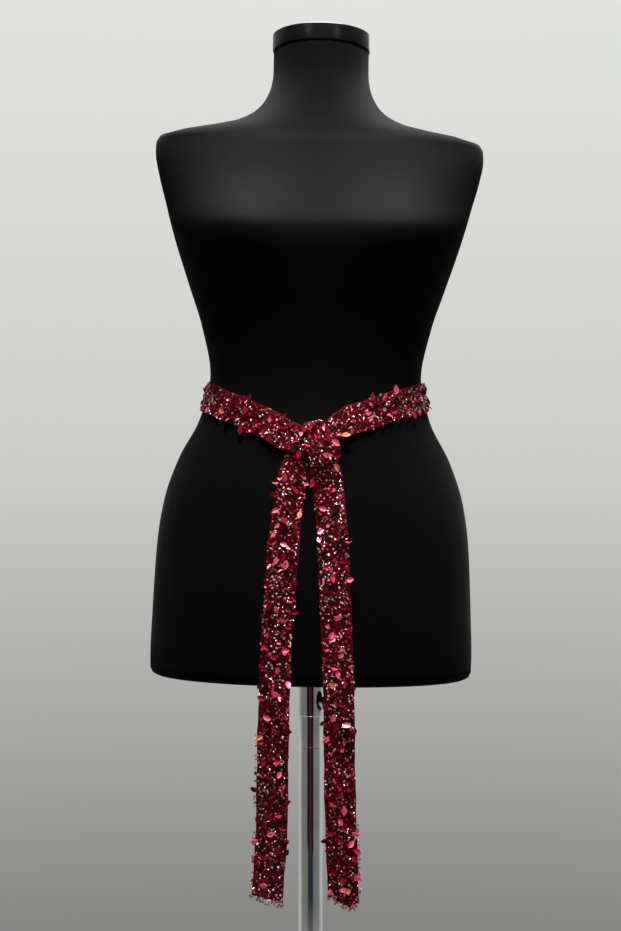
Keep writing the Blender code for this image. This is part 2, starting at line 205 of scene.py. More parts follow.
def cover_heights():
    heights = []
    for low, high in zip(TORSO, TORSO[1:]):
        pieces = math.ceil((high.height - low.height) / COVER_RING_STEP)
        heights += [low.height + (high.height - low.height) * k / pieces for k in range(pieces)]
    return heights + [TORSO[-1].height]


def form_cover(finish):
    """The closed torso: underside with the pole's bore, walls, and the neck's top."""
    turns = [2 * math.pi * k / COVER_SEGMENTS for k in range(COVER_SEGMENTS)]
    heights = cover_heights()
    rings = [in_place([form_point(turn, height) for turn in turns]) for height in heights]
    circle = np.array([(BORE_RADIUS * math.sin(a), -BORE_RADIUS * math.cos(a), 0.0) for a in turns])
    bore_mouth = in_place(circle)
    bore_top = circle + np.array([0, 0, FORM_BOTTOM + BORE_DEPTH])
    under_edge = in_place([form_point(turn, 0.0) * UNDER_INSET for turn in turns])
    rings = [bore_top, bore_mouth, under_edge, *rings]
    rises = [*UNDER_RISES, *(WALL_RISE + height for height in heights)]
    faces, uv = [], []
    for i in range(len(rings) - 1):
        for k in range(COVER_SEGMENTS):
            after = (k + 1) % COVER_SEGMENTS
            low, high = i * COVER_SEGMENTS, (i + 1) * COVER_SEGMENTS
            faces.append([low + k, low + after, high + after, high + k])
            left, right = k / COVER_SEGMENTS, (k + 1) / COVER_SEGMENTS
            uv += [(left, rises[i]), (right, rises[i]), (right, rises[i + 1]), (left, rises[i + 1])]
    last = (len(rings) - 1) * COVER_SEGMENTS
    faces.append([last + k for k in range(COVER_SEGMENTS)])
    faces.append([COVER_SEGMENTS - 1 - k for k in range(COVER_SEGMENTS)])
    uv += [(k / COVER_SEGMENTS, rises[-1]) for k in range(COVER_SEGMENTS)]
    uv += [(k / COVER_SEGMENTS, rises[0]) for k in range(COVER_SEGMENTS)]
    return add_piece("form_cover", np.concatenate(rings), faces, finish, uv)


def add_node(tree, kind, settings=None, sockets=None):
    """Adds a node: its settings first, then a value or a link for each socket, by name or number."""
    made = tree.nodes.new(kind)
    for key, setting in (settings or {}).items():
        if key == "stops":
            ramp_of = made.color_ramp
            while len(ramp_of.elements) < len(setting):
                ramp_of.elements.new(0.5)
            for stop, (position, colour) in zip(ramp_of.elements, setting):
                stop.position, stop.color = position, (*colour, 1.0)
        elif key == "interpolation":
            made.color_ramp.interpolation = setting
        else:
            setattr(made, key, setting)
    for key, value in (sockets or {}).items():
        source = getattr(value, "socket", value)
        if isinstance(source, bpy.types.NodeSocket):
            tree.links.new(source, made.inputs[key])
        else:
            made.inputs[key].default_value = value
    return made


def operator(operation, flip=False):
    return lambda amount, other: amount.maths(operation, other, flip=flip)


class Amount:
    """A number that varies over a surface. Each operator adds its Math node."""

    def __init__(self, socket):
        self.socket = socket

    def maths(self, operation, *others, flip=False):
        terms = (*others, self) if flip else (self, *others)
        tree, sockets = self.socket.id_data, dict(enumerate(terms))
        return Amount(add_node(tree, "ShaderNodeMath", {"operation": operation}, sockets).outputs[0])

    __add__ = __radd__ = operator("ADD")
    __mul__ = __rmul__ = operator("MULTIPLY")
    __sub__, __rsub__ = operator("SUBTRACT"), operator("SUBTRACT", flip=True)
    __truediv__ = operator("DIVIDE")

    def sine(self):
        return self.maths("SINE")

    def size(self):
        return self.maths("ABSOLUTE")


class Nodes:
    """A shader's node tree."""

    def __init__(self, tree):
        self.tree = tree

    def node(self, kind, settings=None, sockets=None):
        return add_node(self.tree, kind, settings, sockets)

    def spread(self, amount, low, high, to_low=0.0, to_high=1.0):
        limits = {0: amount, 1: low, 2: high, 3: to_low, 4: to_high}
        return Amount(self.node("ShaderNodeMapRange", {"clamp": True}, limits).outputs[0])

    def mix(self, share, first, second):
        sides = {6: first, 7: second}
        sides = {k: (*v, 1.0) if isinstance(v, tuple) else v for k, v in sides.items()}
        return self.node("ShaderNodeMix", {"data_type": "RGBA"}, {0: share, **sides}).outputs[2]


class Finish(Nodes):
    """A material of one Principled shader. Constants go straight onto the shader's own sockets."""

    def __init__(self, name, colour, **constants):
        self.material = bpy.data.materials.new(name)
        self.material.use_nodes = True
        super().__init__(self.material.node_tree)
        self.shader = self.tree.nodes["Principled BSDF"]
        self.shader.inputs["Base Color"].default_value = (*colour, 1.0)
        self.material.diffuse_color = (*colour, 1.0)
        for key, value in constants.items():
            self.shader.inputs[key.replace("_", " ")].default_value = value

    def place(self):
        """Object coordinates, in metres."""
        return self.node("ShaderNodeTexCoord").outputs["Object"]

    def cut(self):
        """Distances across and along the cloth as it was cut."""
        found = self.node("ShaderNodeUVMap", {"uv_map": "cut"}).outputs[0]
        parts = self.node("ShaderNodeSeparateXYZ", None, {0: found})
        return Amount(parts.outputs[0]), Amount(parts.outputs[1])

    def noise(self, where, scale, detail=3.0, roughness=0.55):
        sockets = {"Vector": where, "Scale": scale, "Detail": detail, "Roughness": roughness}
        return Amount(self.node("ShaderNodeTexNoise", None, sockets).outputs[0])

    def by_tint(self, stops):
        """One of a few plain colours for each bead or sequin, by its tint from 0 to 1."""
        tint = self.node("ShaderNodeAttribute", {"attribute_name": "tint"}).outputs["Fac"]
        settings = {"interpolation": "CONSTANT", "stops": stops}
        return self.node("ShaderNodeValToRGB", settings, {"Fac": tint}).outputs[0]

    def feed(self, **links):
        for key, value in links.items():
            source = getattr(value, "socket", value)
            self.tree.links.new(source, self.shader.inputs[key.replace("_", " ")])

    def bump(self, height, distance, strength=1.0):
        sockets = {"Strength": strength, "Distance": distance, "Height": height}
        made = self.node("ShaderNodeBump", None, sockets)
        self.tree.links.new(made.outputs[0], self.shader.inputs["Normal"])


def jersey_finish():
    """Black knitted jersey with a faint blue cast, a little fuzz, lint, and a seam up the back."""
    made = Finish(
        "form_jersey",
        (0.0017, 0.0018, 0.0023),
        Roughness=0.85,
        Sheen_Weight=0.013,
        Sheen_Roughness=0.40,
        Specular_IOR_Level=0.02,
    )
    girth_share, height = made.cut()
    stitch, wale, girth = 0.0009, 0.0008, 0.95
    column = (girth_share * (girth / wale)).maths("FRACT")
    slant = (column - 0.5).size() * 0.9
    loop = ((height / stitch + slant) * (2 * math.pi)).sine()
    rib = (column * (2 * math.pi)).sine()
    knit = loop * 0.5 + rib * 0.5
    place = made.place()
    cloudy = made.noise(place, 9.0)
    lint = made.spread(made.noise(place, 900.0, 1.0), 0.74, 0.80)
    seam = 1 - made.spread((girth_share - 0.5).size() * girth, 0.0006, 0.0016)
    plain = made.mix(made.spread(cloudy, 0.35, 0.65), (0.0016, 0.0017, 0.0022), (0.0020, 0.0021, 0.0026))
    linty = made.mix(lint * 0.35, plain, (0.03, 0.03, 0.033))
    made.feed(
        Base_Color=made.mix(seam * 0.6, linty, (0.0004, 0.0005, 0.0009)),
        Roughness=made.spread(cloudy, 0.3, 0.7, 0.80, 0.92),
    )
    made.bump(knit * (1 - seam) + seam * -4.0, 0.00009, 0.55)
    return made.material


cover = form_cover(jersey_finish())
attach(cover, "form")
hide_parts("torso")

# Neck cap. A turned disc of lacquered wood or plastic in gloss black with eased edges, screwed down
# on the cut neck. A thin shadow line parts it from the jersey.
GAP = 0.0003
CAP_RADIUS = 0.0574
CAP_LOW = TORSO[-1].height + GAP
CAP_THICKNESS = 0.019
CAP_EDGE = 0.0011
SHARP_ANGLE = math.radians(35)


def rounded(radius, low, high, corner):
    """The profile of a disc or rod with rounded edges, as (radius, height) pairs."""
    steps = 6
    turns = [math.pi / 2 * k / steps for k in range(steps + 1)]
    inner = radius - corner
    lower = [(inner + corner * math.sin(a), low + corner * (1 - math.cos(a))) for a in turns]
    upper = [(inner + corner * math.cos(a), high - corner * (1 - math.sin(a))) for a in turns]
    return [(0, low), *lower, *upper, (0, high)]


def turned(name, profile, finish, segments=128, closed=False):
    """A solid of revolution about Z from (radius, height) pairs, on the axis or closed in a loop."""
    points, rings, faces = [], [], []
    for radius, height in profile:
        count = segments if radius > 0 else 1
        rings.append([len(points) + k for k in range(count)])
        points += [(x, y, height) for x, y in circle(radius, segments)[:count]]
    pairs = list(zip(rings, rings[1:])) + ([(rings[-1], rings[0])] if closed else [])
    for lower, upper in pairs:
        for k in range(segments):
            corners = [
                lower[k % len(lower)],
                lower[(k + 1) % len(lower)],
                upper[(k + 1) % len(upper)],
                upper[k % len(upper)],
            ]
            faces.append(list(dict.fromkeys(corners)))
    return add_piece(name, points, faces, finish)


def sharp_edges(made):
    """Smooth shading that breaks at the machined edges."""
    made.data.set_sharp_from_angle(angle=SHARP_ANGLE)


def cap_finish():
    """Gloss black with faint orange peel and a few rubbed patches."""
    made = Finish("cap_gloss", (0.004, 0.004, 0.006), Roughness=0.28, Specular_IOR_Level=0.12)
    place = made.place()
    rubbed = made.noise(place, 38.0, 5.0)
    dark, greyed = (0.0024, 0.0024, 0.0030), (0.0042, 0.0042, 0.0050)
    made.feed(
        Base_Color=made.mix(made.spread(rubbed, 0.45, 0.75), dark, greyed),
        Roughness=made.spread(rubbed, 0.3, 0.8, 0.26, 0.32),
    )
    made.bump(made.noise(place, 260.0, 2.0), 0.00008, 0.35)
    return made.material


cap_profile = rounded(CAP_RADIUS, CAP_LOW, CAP_LOW + CAP_THICKNESS, CAP_EDGE)
cap = turned("neck_cap_disc", cap_profile, cap_finish())
cap.data.transform(form_frame)
sharp_edges(cap)
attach(cap, "form")
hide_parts("neck_cap")

# Stand. A chromed steel pole pressed into a flanged socket on a round chromed base plate, with an
# engraved ring where the inner tube comes out. The plate's edge is rolled.
BASE_RADIUS = 0.160
BASE_THICKNESS = 0.008
SOCKET_RADIUS = 0.023
SOCKET_TOP = 0.036
POLE_RADIUS = 0.014
POLE_TOP = 0.950
RING_HEIGHT = 0.665
RING_DEPTH = 0.0001
PLATE_EDGE, POLE_EDGE = 0.0025, 0.001
SOCKET_CHAMFER, FLANGE_HEIGHT, SOCKET_NECK = 0.0008, 0.0050, 0.0012


def chrome_finish():
    """Bright chrome plate with wiped-on haze, fine scratches and a slight waviness."""
    made = Finish("chrome", (0.72, 0.73, 0.75), Metallic=1.0, Roughness=0.09)
    place = made.place()
    haze = made.noise(place, 26.0, 4.0)
    stretched = made.node(
        "ShaderNodeMapping", {"vector_type": "POINT"}, {"Vector": place, "Scale": (900.0, 900.0, 25.0)}
    ).outputs[0]
    scratch = made.noise(stretched, 1.0, 2.0)
    made.feed(
        Base_Color=made.mix(made.spread(haze, 0.35, 0.7), (0.74, 0.75, 0.76), (0.62, 0.63, 0.66)),
        Roughness=made.spread(haze, 0.3, 0.75, 0.05, 0.15) + made.spread(scratch, 0.62, 0.75, 0.0, 0.10),
    )
    made.bump(made.noise(place, 60.0, 2.0) + scratch * 0.2, 0.00006, 0.25)
    return made.material


chrome = chrome_finish()
plate = turned("base_plate_disc", rounded(BASE_RADIUS, 0.0, BASE_THICKNESS, PLATE_EDGE), chrome, 192)
socket_low = BASE_THICKNESS + GAP
bore = POLE_RADIUS + GAP
socket_profile = [
    (bore, socket_low),
    (SOCKET_RADIUS - SOCKET_CHAMFER, socket_low),
    (SOCKET_RADIUS, socket_low + SOCKET_CHAMFER),
    (SOCKET_RADIUS, socket_low + FLANGE_HEIGHT),
    (SOCKET_RADIUS - SOCKET_NECK, socket_low + FLANGE_HEIGHT + SOCKET_NECK),
    (SOCKET_RADIUS - SOCKET_NECK, SOCKET_TOP - FLANGE_HEIGHT - SOCKET_NECK),
    (SOCKET_RADIUS, SOCKET_TOP - FLANGE_HEIGHT),
    (SOCKET_RADIUS, SOCKET_TOP - 0.0020),
    (SOCKET_RADIUS - 0.0020, SOCKET_TOP),
    (bore + SOCKET_CHAMFER, SOCKET_TOP),
    (bore, SOCKET_TOP - SOCKET_CHAMFER),
]
base_socket = turned("base_socket_ring", socket_profile, chrome, closed=True)
pole_profile = rounded(POLE_RADIUS, socket_low, POLE_TOP, POLE_EDGE)
middle = len(pole_profile) // 2
ring_steps = ((-0.0012, 0), (-0.0005, 0), (-0.0003, 1), (0.0003, 1), (0.0005, 0), (0.0012, 0))
pole_profile[middle:middle] = [
    (POLE_RADIUS - RING_DEPTH * cut_in, RING_HEIGHT + up) for up, cut_in in ring_steps
]
pole_rod = turned("pole_rod", pole_profile, chrome)
for piece, node in ((plate, "base_plate"), (base_socket, "base_socket"), (pole_rod, "pole")):
    sharp_edges(piece)
    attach(piece, "stand")
    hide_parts(node)

# Clamp collar. A chromed sleeve that slides on the pole and carries the form on its upper end, with
# a drilled boss for the thumb screw and a small chamfer at each lip.
COLLAR_RADIUS = 0.016
COLLAR_LOW, COLLAR_HIGH = 0.702, FORM_BOTTOM - 2 * GAP
SCREW_HEIGHT = 0.718
SCREW_TURN = math.radians(60)
SHANK_RADIUS = 0.003
BOSS_RADIUS, BOSS_START, BOSS_REACH = 0.0062, 0.0148, 0.0200
CHAMFER = 0.0006

screw_frame = (
    Matrix.Translation((0, 0, SCREW_HEIGHT))
    @ Matrix.Rotation(SCREW_TURN, 4, "Z")
    @ Matrix.Rotation(math.pi / 2, 4, "X")
)
collar_profile = [
    (bore, COLLAR_LOW),
    (COLLAR_RADIUS - CHAMFER, COLLAR_LOW),
    (COLLAR_RADIUS, COLLAR_LOW + CHAMFER),
    (COLLAR_RADIUS, COLLAR_HIGH - CHAMFER),
    (COLLAR_RADIUS - CHAMFER, COLLAR_HIGH),
    (bore, COLLAR_HIGH),
]
collar = turned("collar_sleeve", collar_profile, chrome, closed=True)
boss_profile = [
    (SHANK_RADIUS + GAP, BOSS_START),
    (BOSS_RADIUS, BOSS_START),
    (BOSS_RADIUS, BOSS_REACH - CHAMFER),
    (BOSS_RADIUS - CHAMFER, BOSS_REACH),
    (SHANK_RADIUS + GAP, BOSS_REACH),
]
boss = turned("collar_boss", boss_profile, chrome, 48, closed=True)
boss.data.transform(screw_frame)
for piece in (collar, boss):
    sharp_edges(piece)
    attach(piece, "clamp")
    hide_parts("clamp_collar")

# Thumb screw. A steel shank moulded into a black plastic knob with flutes for the fingers, screwed
# through the collar's boss against the pole.
KNOB_RADIUS = 0.0115
KNOB_START, KNOB_END = 0.0208, 0.0358
KNOB_SEGMENTS, KNOB_FLUTES = 144, 9
FLUTE_DEPTH = 0.0011
THREAD_PITCH, THREAD_DEPTH = 0.0008, 0.0003
SHANK_TIP, GRIP_DEPTH = 0.0005, 0.0025


def knob_mesh(name, finish):
    """The knob, with flutes that fade out at its ends, and the shank that it is moulded round."""
    shank = [(0.0, bore), (SHANK_RADIUS - SHANK_TIP, bore), (SHANK_RADIUS, bore + SHANK_TIP)]
    turns_of_thread = int((KNOB_START - bore - 0.001) / THREAD_PITCH)
    for k in range(turns_of_thread):
        base = bore + 0.0008 + k * THREAD_PITCH
        shank += [(SHANK_RADIUS, base), (SHANK_RADIUS - THREAD_DEPTH, base + THREAD_PITCH / 2)]
    body = [
        (SHANK_RADIUS, KNOB_START - 0.0002),
        (0.0058, KNOB_START),
        (KNOB_RADIUS - 0.0018, KNOB_START + 0.0003),
        (KNOB_RADIUS - 0.0004, KNOB_START + 0.0012),
        (KNOB_RADIUS, KNOB_START + 0.0026),
        (KNOB_RADIUS, KNOB_END - 0.0034),
        (KNOB_RADIUS - 0.0005, KNOB_END - 0.0014),
        (KNOB_RADIUS - 0.0020, KNOB_END - 0.0002),
        (KNOB_RADIUS - 0.0045, KNOB_END),
        (0.0020, KNOB_END - 0.0006),
        (0.0, KNOB_END - 0.0007),
    ]
    made = turned(name, shank + body, finish, KNOB_SEGMENTS)
    for vertex in made.data.vertices:
        x, y, z = vertex.co
        radius = math.hypot(x, y)
        if radius > KNOB_RADIUS - GRIP_DEPTH:
            wave = max(0.0, math.cos(KNOB_FLUTES * math.atan2(y, x)))
            share = 1 - FLUTE_DEPTH * wave * wave / radius
            vertex.co = (x * share, y * share, z)
    return made


def plastic_finish():
    """Matte black moulded plastic with a fine grain and paler rubbed ridges."""
    made = Finish("screw_plastic", (0.012, 0.012, 0.013), Roughness=0.42)
    place = made.place()
    worn = made.noise(place, 120.0, 4.0)
    made.feed(
        Base_Color=made.mix(made.spread(worn, 0.5, 0.8), (0.010, 0.010, 0.011), (0.030, 0.030, 0.032)),
        Roughness=made.spread(worn, 0.3, 0.7, 0.36, 0.55),
    )
    made.bump(made.noise(place, 1400.0, 2.0), 0.00005, 0.4)
    return made.material


knob = knob_mesh("thumb_screw_knob", plastic_finish())
knob.data.transform(screw_frame)
sharp_edges(knob)
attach(knob, "screw")
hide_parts("thumb_screw")

# Sash cloth. One strip of wine-red satin ribbon, about 34 mm wide, that carries the beads. It is
# wound once round the waist and tied in a half knot at the front, with both ends hanging down.
CLOTH = 0.0008
SINK = 0.0007
LYING = 0.0018
BAND_HALF = 0.0168
BEADLESS_EDGE = 0.0016

Strip = namedtuple("Strip", "cloth face outer length width")


def cloth_finish():
    """Wine-red satin: fine cross ribs and puckers where beads are sewn down."""
    made = Finish("sash_cloth", (0.075, 0.0014, 0.006), Roughness=0.50, Specular_IOR_Level=0.02)
    across, along = made.cut()
    ribs = (along * (2 * math.pi / 0.0007)).sine()
    warp = (across * (2 * math.pi / 0.0005)).sine()
    place = made.place()
    puckers = made.noise(place, 420.0, 2.0)
    worn = made.noise(place, 55.0, 4.0)
    deep, lit = (0.042, 0.0007, 0.0034), (0.105, 0.0022, 0.0100)
    made.feed(
        Base_Color=made.mix(made.spread(worn, 0.35, 0.68), deep, lit),
        Roughness=made.spread(puckers, 0.3, 0.7, 0.38, 0.58),
    )
    made.bump(ribs * 0.25 + warp * 0.15 + puckers * 1.6, 0.0003, 0.6)
    return made.material


def grid_normals(grid):
    along = np.gradient(grid, axis=0)
    across = np.gradient(grid, axis=1)
    normal = np.cross(along, across)
    return normal / np.linalg.norm(normal, axis=2)[..., None]


def strip_of(name, grid, sewn, finish):
    """A thin closed wall of cloth round a grid of rows along the strip, and its bare beaded face.

    Sewn is 1 where beads are sewn on and 0 elsewhere, for each point of the grid.
    """
    grid = np.array(grid)
    rows, columns = grid.shape[:2]
    normal = grid_normals(grid)
    outer = grid + normal * (CLOTH / 2 - SINK)
    inner = grid - normal * (CLOTH / 2 + SINK)
    lengths = np.linalg.norm(np.diff(grid[:, columns // 2], axis=0), axis=1)
    along = np.concatenate([[0], np.cumsum(lengths)])
    widths = np.linalg.norm(np.diff(grid, axis=1), axis=2).sum(axis=1)
    width = float(np.median(widths))
    across = np.linspace(0, width, columns)
    count = 2 * columns
    loops = np.concatenate([outer, inner[:, ::-1]], axis=1)
    places = np.concatenate([across, across[::-1]])
    faces, uv = [], []
    for i in range(rows - 1):
        for k in range(count):
            after = (k + 1) % count
            low, high = i * count, (i + 1) * count
            faces.append([low + k, high + k, high + after, low + after])
            left, right = places[k], places[after]
            uv += [(left, along[i]), (left, along[i + 1]), (right, along[i + 1]), (right, along[i])]
    for i, turn in ((0, 1), (rows - 1, -1)):
        for k in range(columns - 1):
            corners = [k, k + 1, count - 2 - k, count - 1 - k][::turn]
            faces.append([i * count + c for c in corners])
            uv += [(places[c], along[i]) for c in corners]
    cloth = add_piece(name, in_place(loops), faces, finish, uv)
    skin_faces = [
        [i * columns + k, (i + 1) * columns + k, (i + 1) * columns + k + 1, i * columns + k + 1]
        for i in range(rows - 1)
        for k in range(columns - 1)
    ]
    face = add_piece(name + "_face", in_place(outer), skin_faces, finish)
    face.data.attributes.new("sewn", "FLOAT", "POINT").data.foreach_set(
        "value", np.asarray(sewn, np.float32).ravel()
    )
    return Strip(cloth, face, in_place(outer).reshape(outer.shape), float(along[-1]), width)


def inside_edges(columns, width, margin):
    """1 for the columns at least a margin inside the strip's edges."""
    across = np.linspace(0, width, columns)
    return ((across >= margin) & (across <= width - margin)).astype(float)


cloth_red = cloth_finish()

# Waist band. The strip's stretch round the waist, lying flat on the jersey and dipping to the knot,
# where its left end crosses over its right end. Slight creases run into the knot.
Band = namedtuple("Band", "turn height stand_off half_width", defaults=(LYING, BAND_HALF))
WAIST_BAND = [
    Band(3.0, 0.2785, 0.0044, 0.0095),
    Band(6.5, 0.2815, 0.0044, 0.0095),
    Band(14.0, 0.2893, 0.0044, 0.0136),
    Band(23.0, 0.2964, 0.0036, 0.0165),
    Band(31.0, 0.3015, 0.0020),
    Band(40.0, 0.3072),
    Band(56.0, 0.3178),
    Band(90.0, 0.3287),
    Band(135.0, 0.3345),
    Band(180.0, 0.3360),
    Band(225.0, 0.3330),
    Band(270.0, 0.3252),
    Band(291.0, 0.3192),
    Band(305.0, 0.3098),
    Band(318.0, 0.3005),
    Band(329.0, 0.2915, 0.0022),
    Band(338.0, 0.2826, 0.0042, 0.0170),
    Band(346.0, 0.2755, 0.0047, 0.0168),
    Band(351.6, 0.2719, 0.0052, 0.0152),
    Band(358.0, 0.2705, 0.0069, 0.0150),
    Band(364.0, 0.2700, 0.0071, 0.0150),
]
BAND_TURN_STEP = 1.2
BAND_COLUMNS = 21
# Turns between which the band's beads are in sight
BAND_BEADED = (10.0, 354.0)
# Slow waves along the band, each with its height, rate and start, and the curl of its edges
BAND_WANDER = ((0.0004, 0.31, 0.0), (0.0003, 0.83, 1.0))
EDGE_CURL = 0.0005

Crease = namedtuple("Crease", "start end place height width")
BAND_CREASES = [
    Crease(332.0, 366.0, 0.35, 0.0009, 0.10),
    Crease(338.0, 366.0, -0.30, 0.0007, 0.12),
    Crease(2.0, 26.0, 0.20, 0.0006, 0.12),
    Crease(60.0, 104.0, -0.45, 0.0005, 0.16),
    Crease(150.0, 206.0, 0.40, 0.0006, 0.14),
    Crease(246.0, 292.0, -0.15, 0.0005, 0.16),
]


def waves(run, parts):
    return sum(height * math.sin(run * rate + start) for height, rate, start in parts)


def crease_lift(creases, run, share):
    """How far the creases lift the cloth at this run along it and share across it, from -1 to 1."""
    lift = 0.0
    for crease in creases:
        middle = (crease.start + crease.end) / 2
        half = (crease.end - crease.start) / 2
        fade = max(0.0, 1 - ((run - middle) / half) ** 2)
        lift += crease.height * fade * math.exp(-(((share - crease.place) / crease.width) ** 2))
    return lift


def band_grid():
    table = Table(WAIST_BAND)
    first, last = WAIST_BAND[0].turn, WAIST_BAND[-1].turn
    count = round((last - first) / BAND_TURN_STEP)
    grid, sewn = [], []
    edge = inside_edges(BAND_COLUMNS, 2 * BAND_HALF, BEADLESS_EDGE)
    for i in range(count + 1):
        turn = first + (last - first) * i / count
        height, stand_off, half_width = table.at(turn)
        angle = math.radians(turn)
        centre = form_point(angle, height)
        ahead_key, behind_key = min(turn + 1.0, last), max(turn - 1.0, first)
        ahead = form_point(math.radians(ahead_key), table.at(ahead_key)[0])
        behind = form_point(math.radians(behind_key), table.at(behind_key)[0])
        run = (ahead - behind) / np.linalg.norm(ahead - behind)
        up = np.cross(form_normal(angle, height), run)
        wander = waves(turn, BAND_WANDER)
        row = []
        for k in range(BAND_COLUMNS):
            share = 2 * k / (BAND_COLUMNS - 1) - 1
            lift = crease_lift(BAND_CREASES, turn, share)
            lift += EDGE_CURL * abs(share) ** 3 * (1 + math.sin(turn * 0.47 + 2.0 * (share > 0)))
            point = centre + (share * half_width + wander) * up
            row.append(off_form(point, stand_off + lift))
        grid.append(row)
        sewn.append(edge * (BAND_BEADED[0] <= turn <= BAND_BEADED[1]))
    return grid, sewn


band = strip_of("waist_band_cloth", *band_grid(), cloth_red)

# Front tail. The right end comes up behind the crossing, folds over its top edge, makes the front
# of the knot and hangs down as the right tail, below the form's hem too. Its creases fan from the fold.
LYING_FLAT = (LYING, LYING, 0.0, 0.0)
Stretch = namedtuple("Stretch", "height left right off_left off_right bulge tilt", defaults=LYING_FLAT)
RISER = [
    Stretch(0.2620, 0.0000, 0.0180),
    Stretch(0.2700, -0.0030, 0.0160, LYING, LYING, 0.0, 0.05),
    Stretch(0.2780, -0.0080, 0.0140, LYING, LYING, 0.0, 0.10),
    Stretch(0.2860, -0.0125, 0.0110, LYING, LYING, 0.0, 0.20),
]
FOLD = Stretch(0.2905, -0.0134, 0.0096, 0.0100, 0.0100, 0.0, 0.20)
FALL = [
    Stretch(0.2840, -0.0131, 0.0160, 0.0106, 0.0086, 0.0010, 0.16),
    Stretch(0.2790, -0.0126, 0.0215, 0.0108, 0.0078, 0.0013, 0.08),
    Stretch(0.2742, -0.0120, 0.0256, 0.0108, 0.0074, 0.0016, 0.03),
    Stretch(0.2665, -0.0098, 0.0268, 0.0106, 0.0074, 0.0018, 0.0),
    Stretch(0.2590, -0.0075, 0.0262, 0.0104, 0.0072, 0.0018, 0.0),
    Stretch(0.2515, -0.0062, 0.0272, 0.0090, 0.0062, 0.0015, 0.0),
    Stretch(0.2445, -0.0056, 0.0292, 0.0062, 0.0044, 0.0010, 0.0),
    Stretch(0.2380, -0.0048, 0.0306, 0.0036, 0.0026, 0.0005, 0.0),
    Stretch(0.2300, -0.0036, 0.0318, LYING, LYING, 0.0002, 0.0),
    Stretch(0.2024, 0.0003, 0.0349),
    Stretch(0.1694, 0.0043, 0.0391),
    Stretch(0.1360, 0.0061, 0.0411),
    Stretch(0.0870, 0.0088, 0.0436),
    Stretch(0.0530, 0.0108, 0.0458),
    Stretch(-0.0130, 0.0144, 0.0490),
    Stretch(-0.0780, 0.0160, 0.0507),
    Stretch(-0.1440, 0.0186, 0.0533),
    Stretch(-0.2340, 0.0232, 0.0576),
]
FRONT_END = (0.0050, 0.0035, 0.0, -0.0045, -0.0070, -0.0050, -0.0005)
TAIL_COLUMNS = 21
TAIL_STEP = 0.0022
TAIL_WAVES, WAVES_BELOW = ((0.0003, 97, 0.0), (0.0002, 263, 2.0)), 0.24
# A free tail's sway, ripple, least lift and curl, and how its cut end is drawn in and frayed
SWAY, RIPPLE, FREE_LIFT, FREE_CURL = 0.0007, 0.0005, 0.0007, 0.0008
END_EASE, RAGGED = 0.030, 0.0009
FOLD_STEPS, RISER_CUTS = 14, 3
TAIL_EDGES = inside_edges(TAIL_COLUMNS, 0.035, BEADLESS_EDGE)
FRONT_CREASES = [
    Crease(0.225, 0.296, -0.48, 0.0013, 0.13),
    Crease(0.235, 0.294, 0.02, 0.0011, 0.12),
    Crease(0.230, 0.290, 0.52, 0.0014, 0.14),
    Crease(0.120, 0.215, 0.30, 0.0006, 0.20),
    Crease(0.010, 0.120, -0.35, 0.0007, 0.22),
    Crease(-0.190, -0.060, 0.25, 0.0009, 0.25),
]


def stretch_row(stretch, creases):
    height, left, right, off_left, off_right, bulge, tilt = stretch
    row = []
    edge_wave = waves(height, TAIL_WAVES)
    for k in range(TAIL_COLUMNS):
        share = k / (TAIL_COLUMNS - 1)
        x = left + share * (right - left) + edge_wave * (2 * share - 1) * (height < WAVES_BELOW)
        z = height + tilt * (x - (left + right) / 2)
        off = off_left + share * (off_right - off_left) + bulge * 4 * share * (1 - share)
        off += crease_lift(creases, height, 2 * share - 1)
        row.append(np.array([x, front_y(x, z) - off, z]))
    return row


def hang_lift(height, share, seed):
    """How far a free tail stands off below the belly, with long shallow waves and a slight curl."""
    free = ramp(-height, -0.09, 0.02)
    wave = SWAY * math.sin(height * 34 + seed) + RIPPLE * math.sin(height * 71 + 2.2 * seed + 2 * share)
    return free * (wave + FREE_LIFT + FREE_CURL * share * math.sin(height * 19 + seed))


def hanging_rows(rows, ends, creases, seed):
    table = Table(rows)
    top, bottom = rows[0].height, rows[-1].height
    count = round((top - bottom) / TAIL_STEP)
    drops = np.interp(np.linspace(0, 1, TAIL_COLUMNS), np.linspace(0, 1, len(ends)), ends)
    grid = []
    for i in range(count + 1):
        height = top + (bottom - top) * i / count
        row = stretch_row((height, *table.at(height)), creases)
        near_end = 1 - ramp(height, bottom, bottom + END_EASE)
        for k, point in enumerate(row):
            share = 2 * k / (TAIL_COLUMNS - 1) - 1
            point[1] -= hang_lift(height, share, seed)
            ragged = RAGGED * math.sin(k * 2.9 + seed) * (height <= bottom + TAIL_STEP / 2)
            point[2] += near_end * drops[k] + ragged
        grid.append(row)
    return grid


def front_grid():
    riser = Table(RISER)
    rise = np.linspace(RISER[0].height, RISER[-1].height, RISER_CUTS * len(RISER))
    grid = [stretch_row((height, *riser.at(height)), []) for height in rise]
    radius = (FOLD.off_left - LYING) / 2
    middle = (FOLD.off_left + LYING) / 2
    for k in range(FOLD_STEPS + 1):
        angle = math.pi * k / FOLD_STEPS
        off = middle - radius * math.cos(angle)
        shape = Stretch(FOLD.height, FOLD.left, FOLD.right, off, off, 0.0, FOLD.tilt)
        creases = FRONT_CREASES if angle > math.pi / 2 else []
        lifted = np.array([0, 0, radius * math.sin(angle)])
        grid.append([point + lifted for point in stretch_row(shape, creases)])
    hidden = len(rise) + FOLD_STEPS // 2 - 2
    grid += hanging_rows(FALL, FRONT_END, FRONT_CREASES, 1.0)
    sewn = [TAIL_EDGES * (i >= hidden) for i in range(len(grid))]
    return grid, sewn


front_tail = strip_of("front_tail_cloth", *front_grid(), cloth_red)

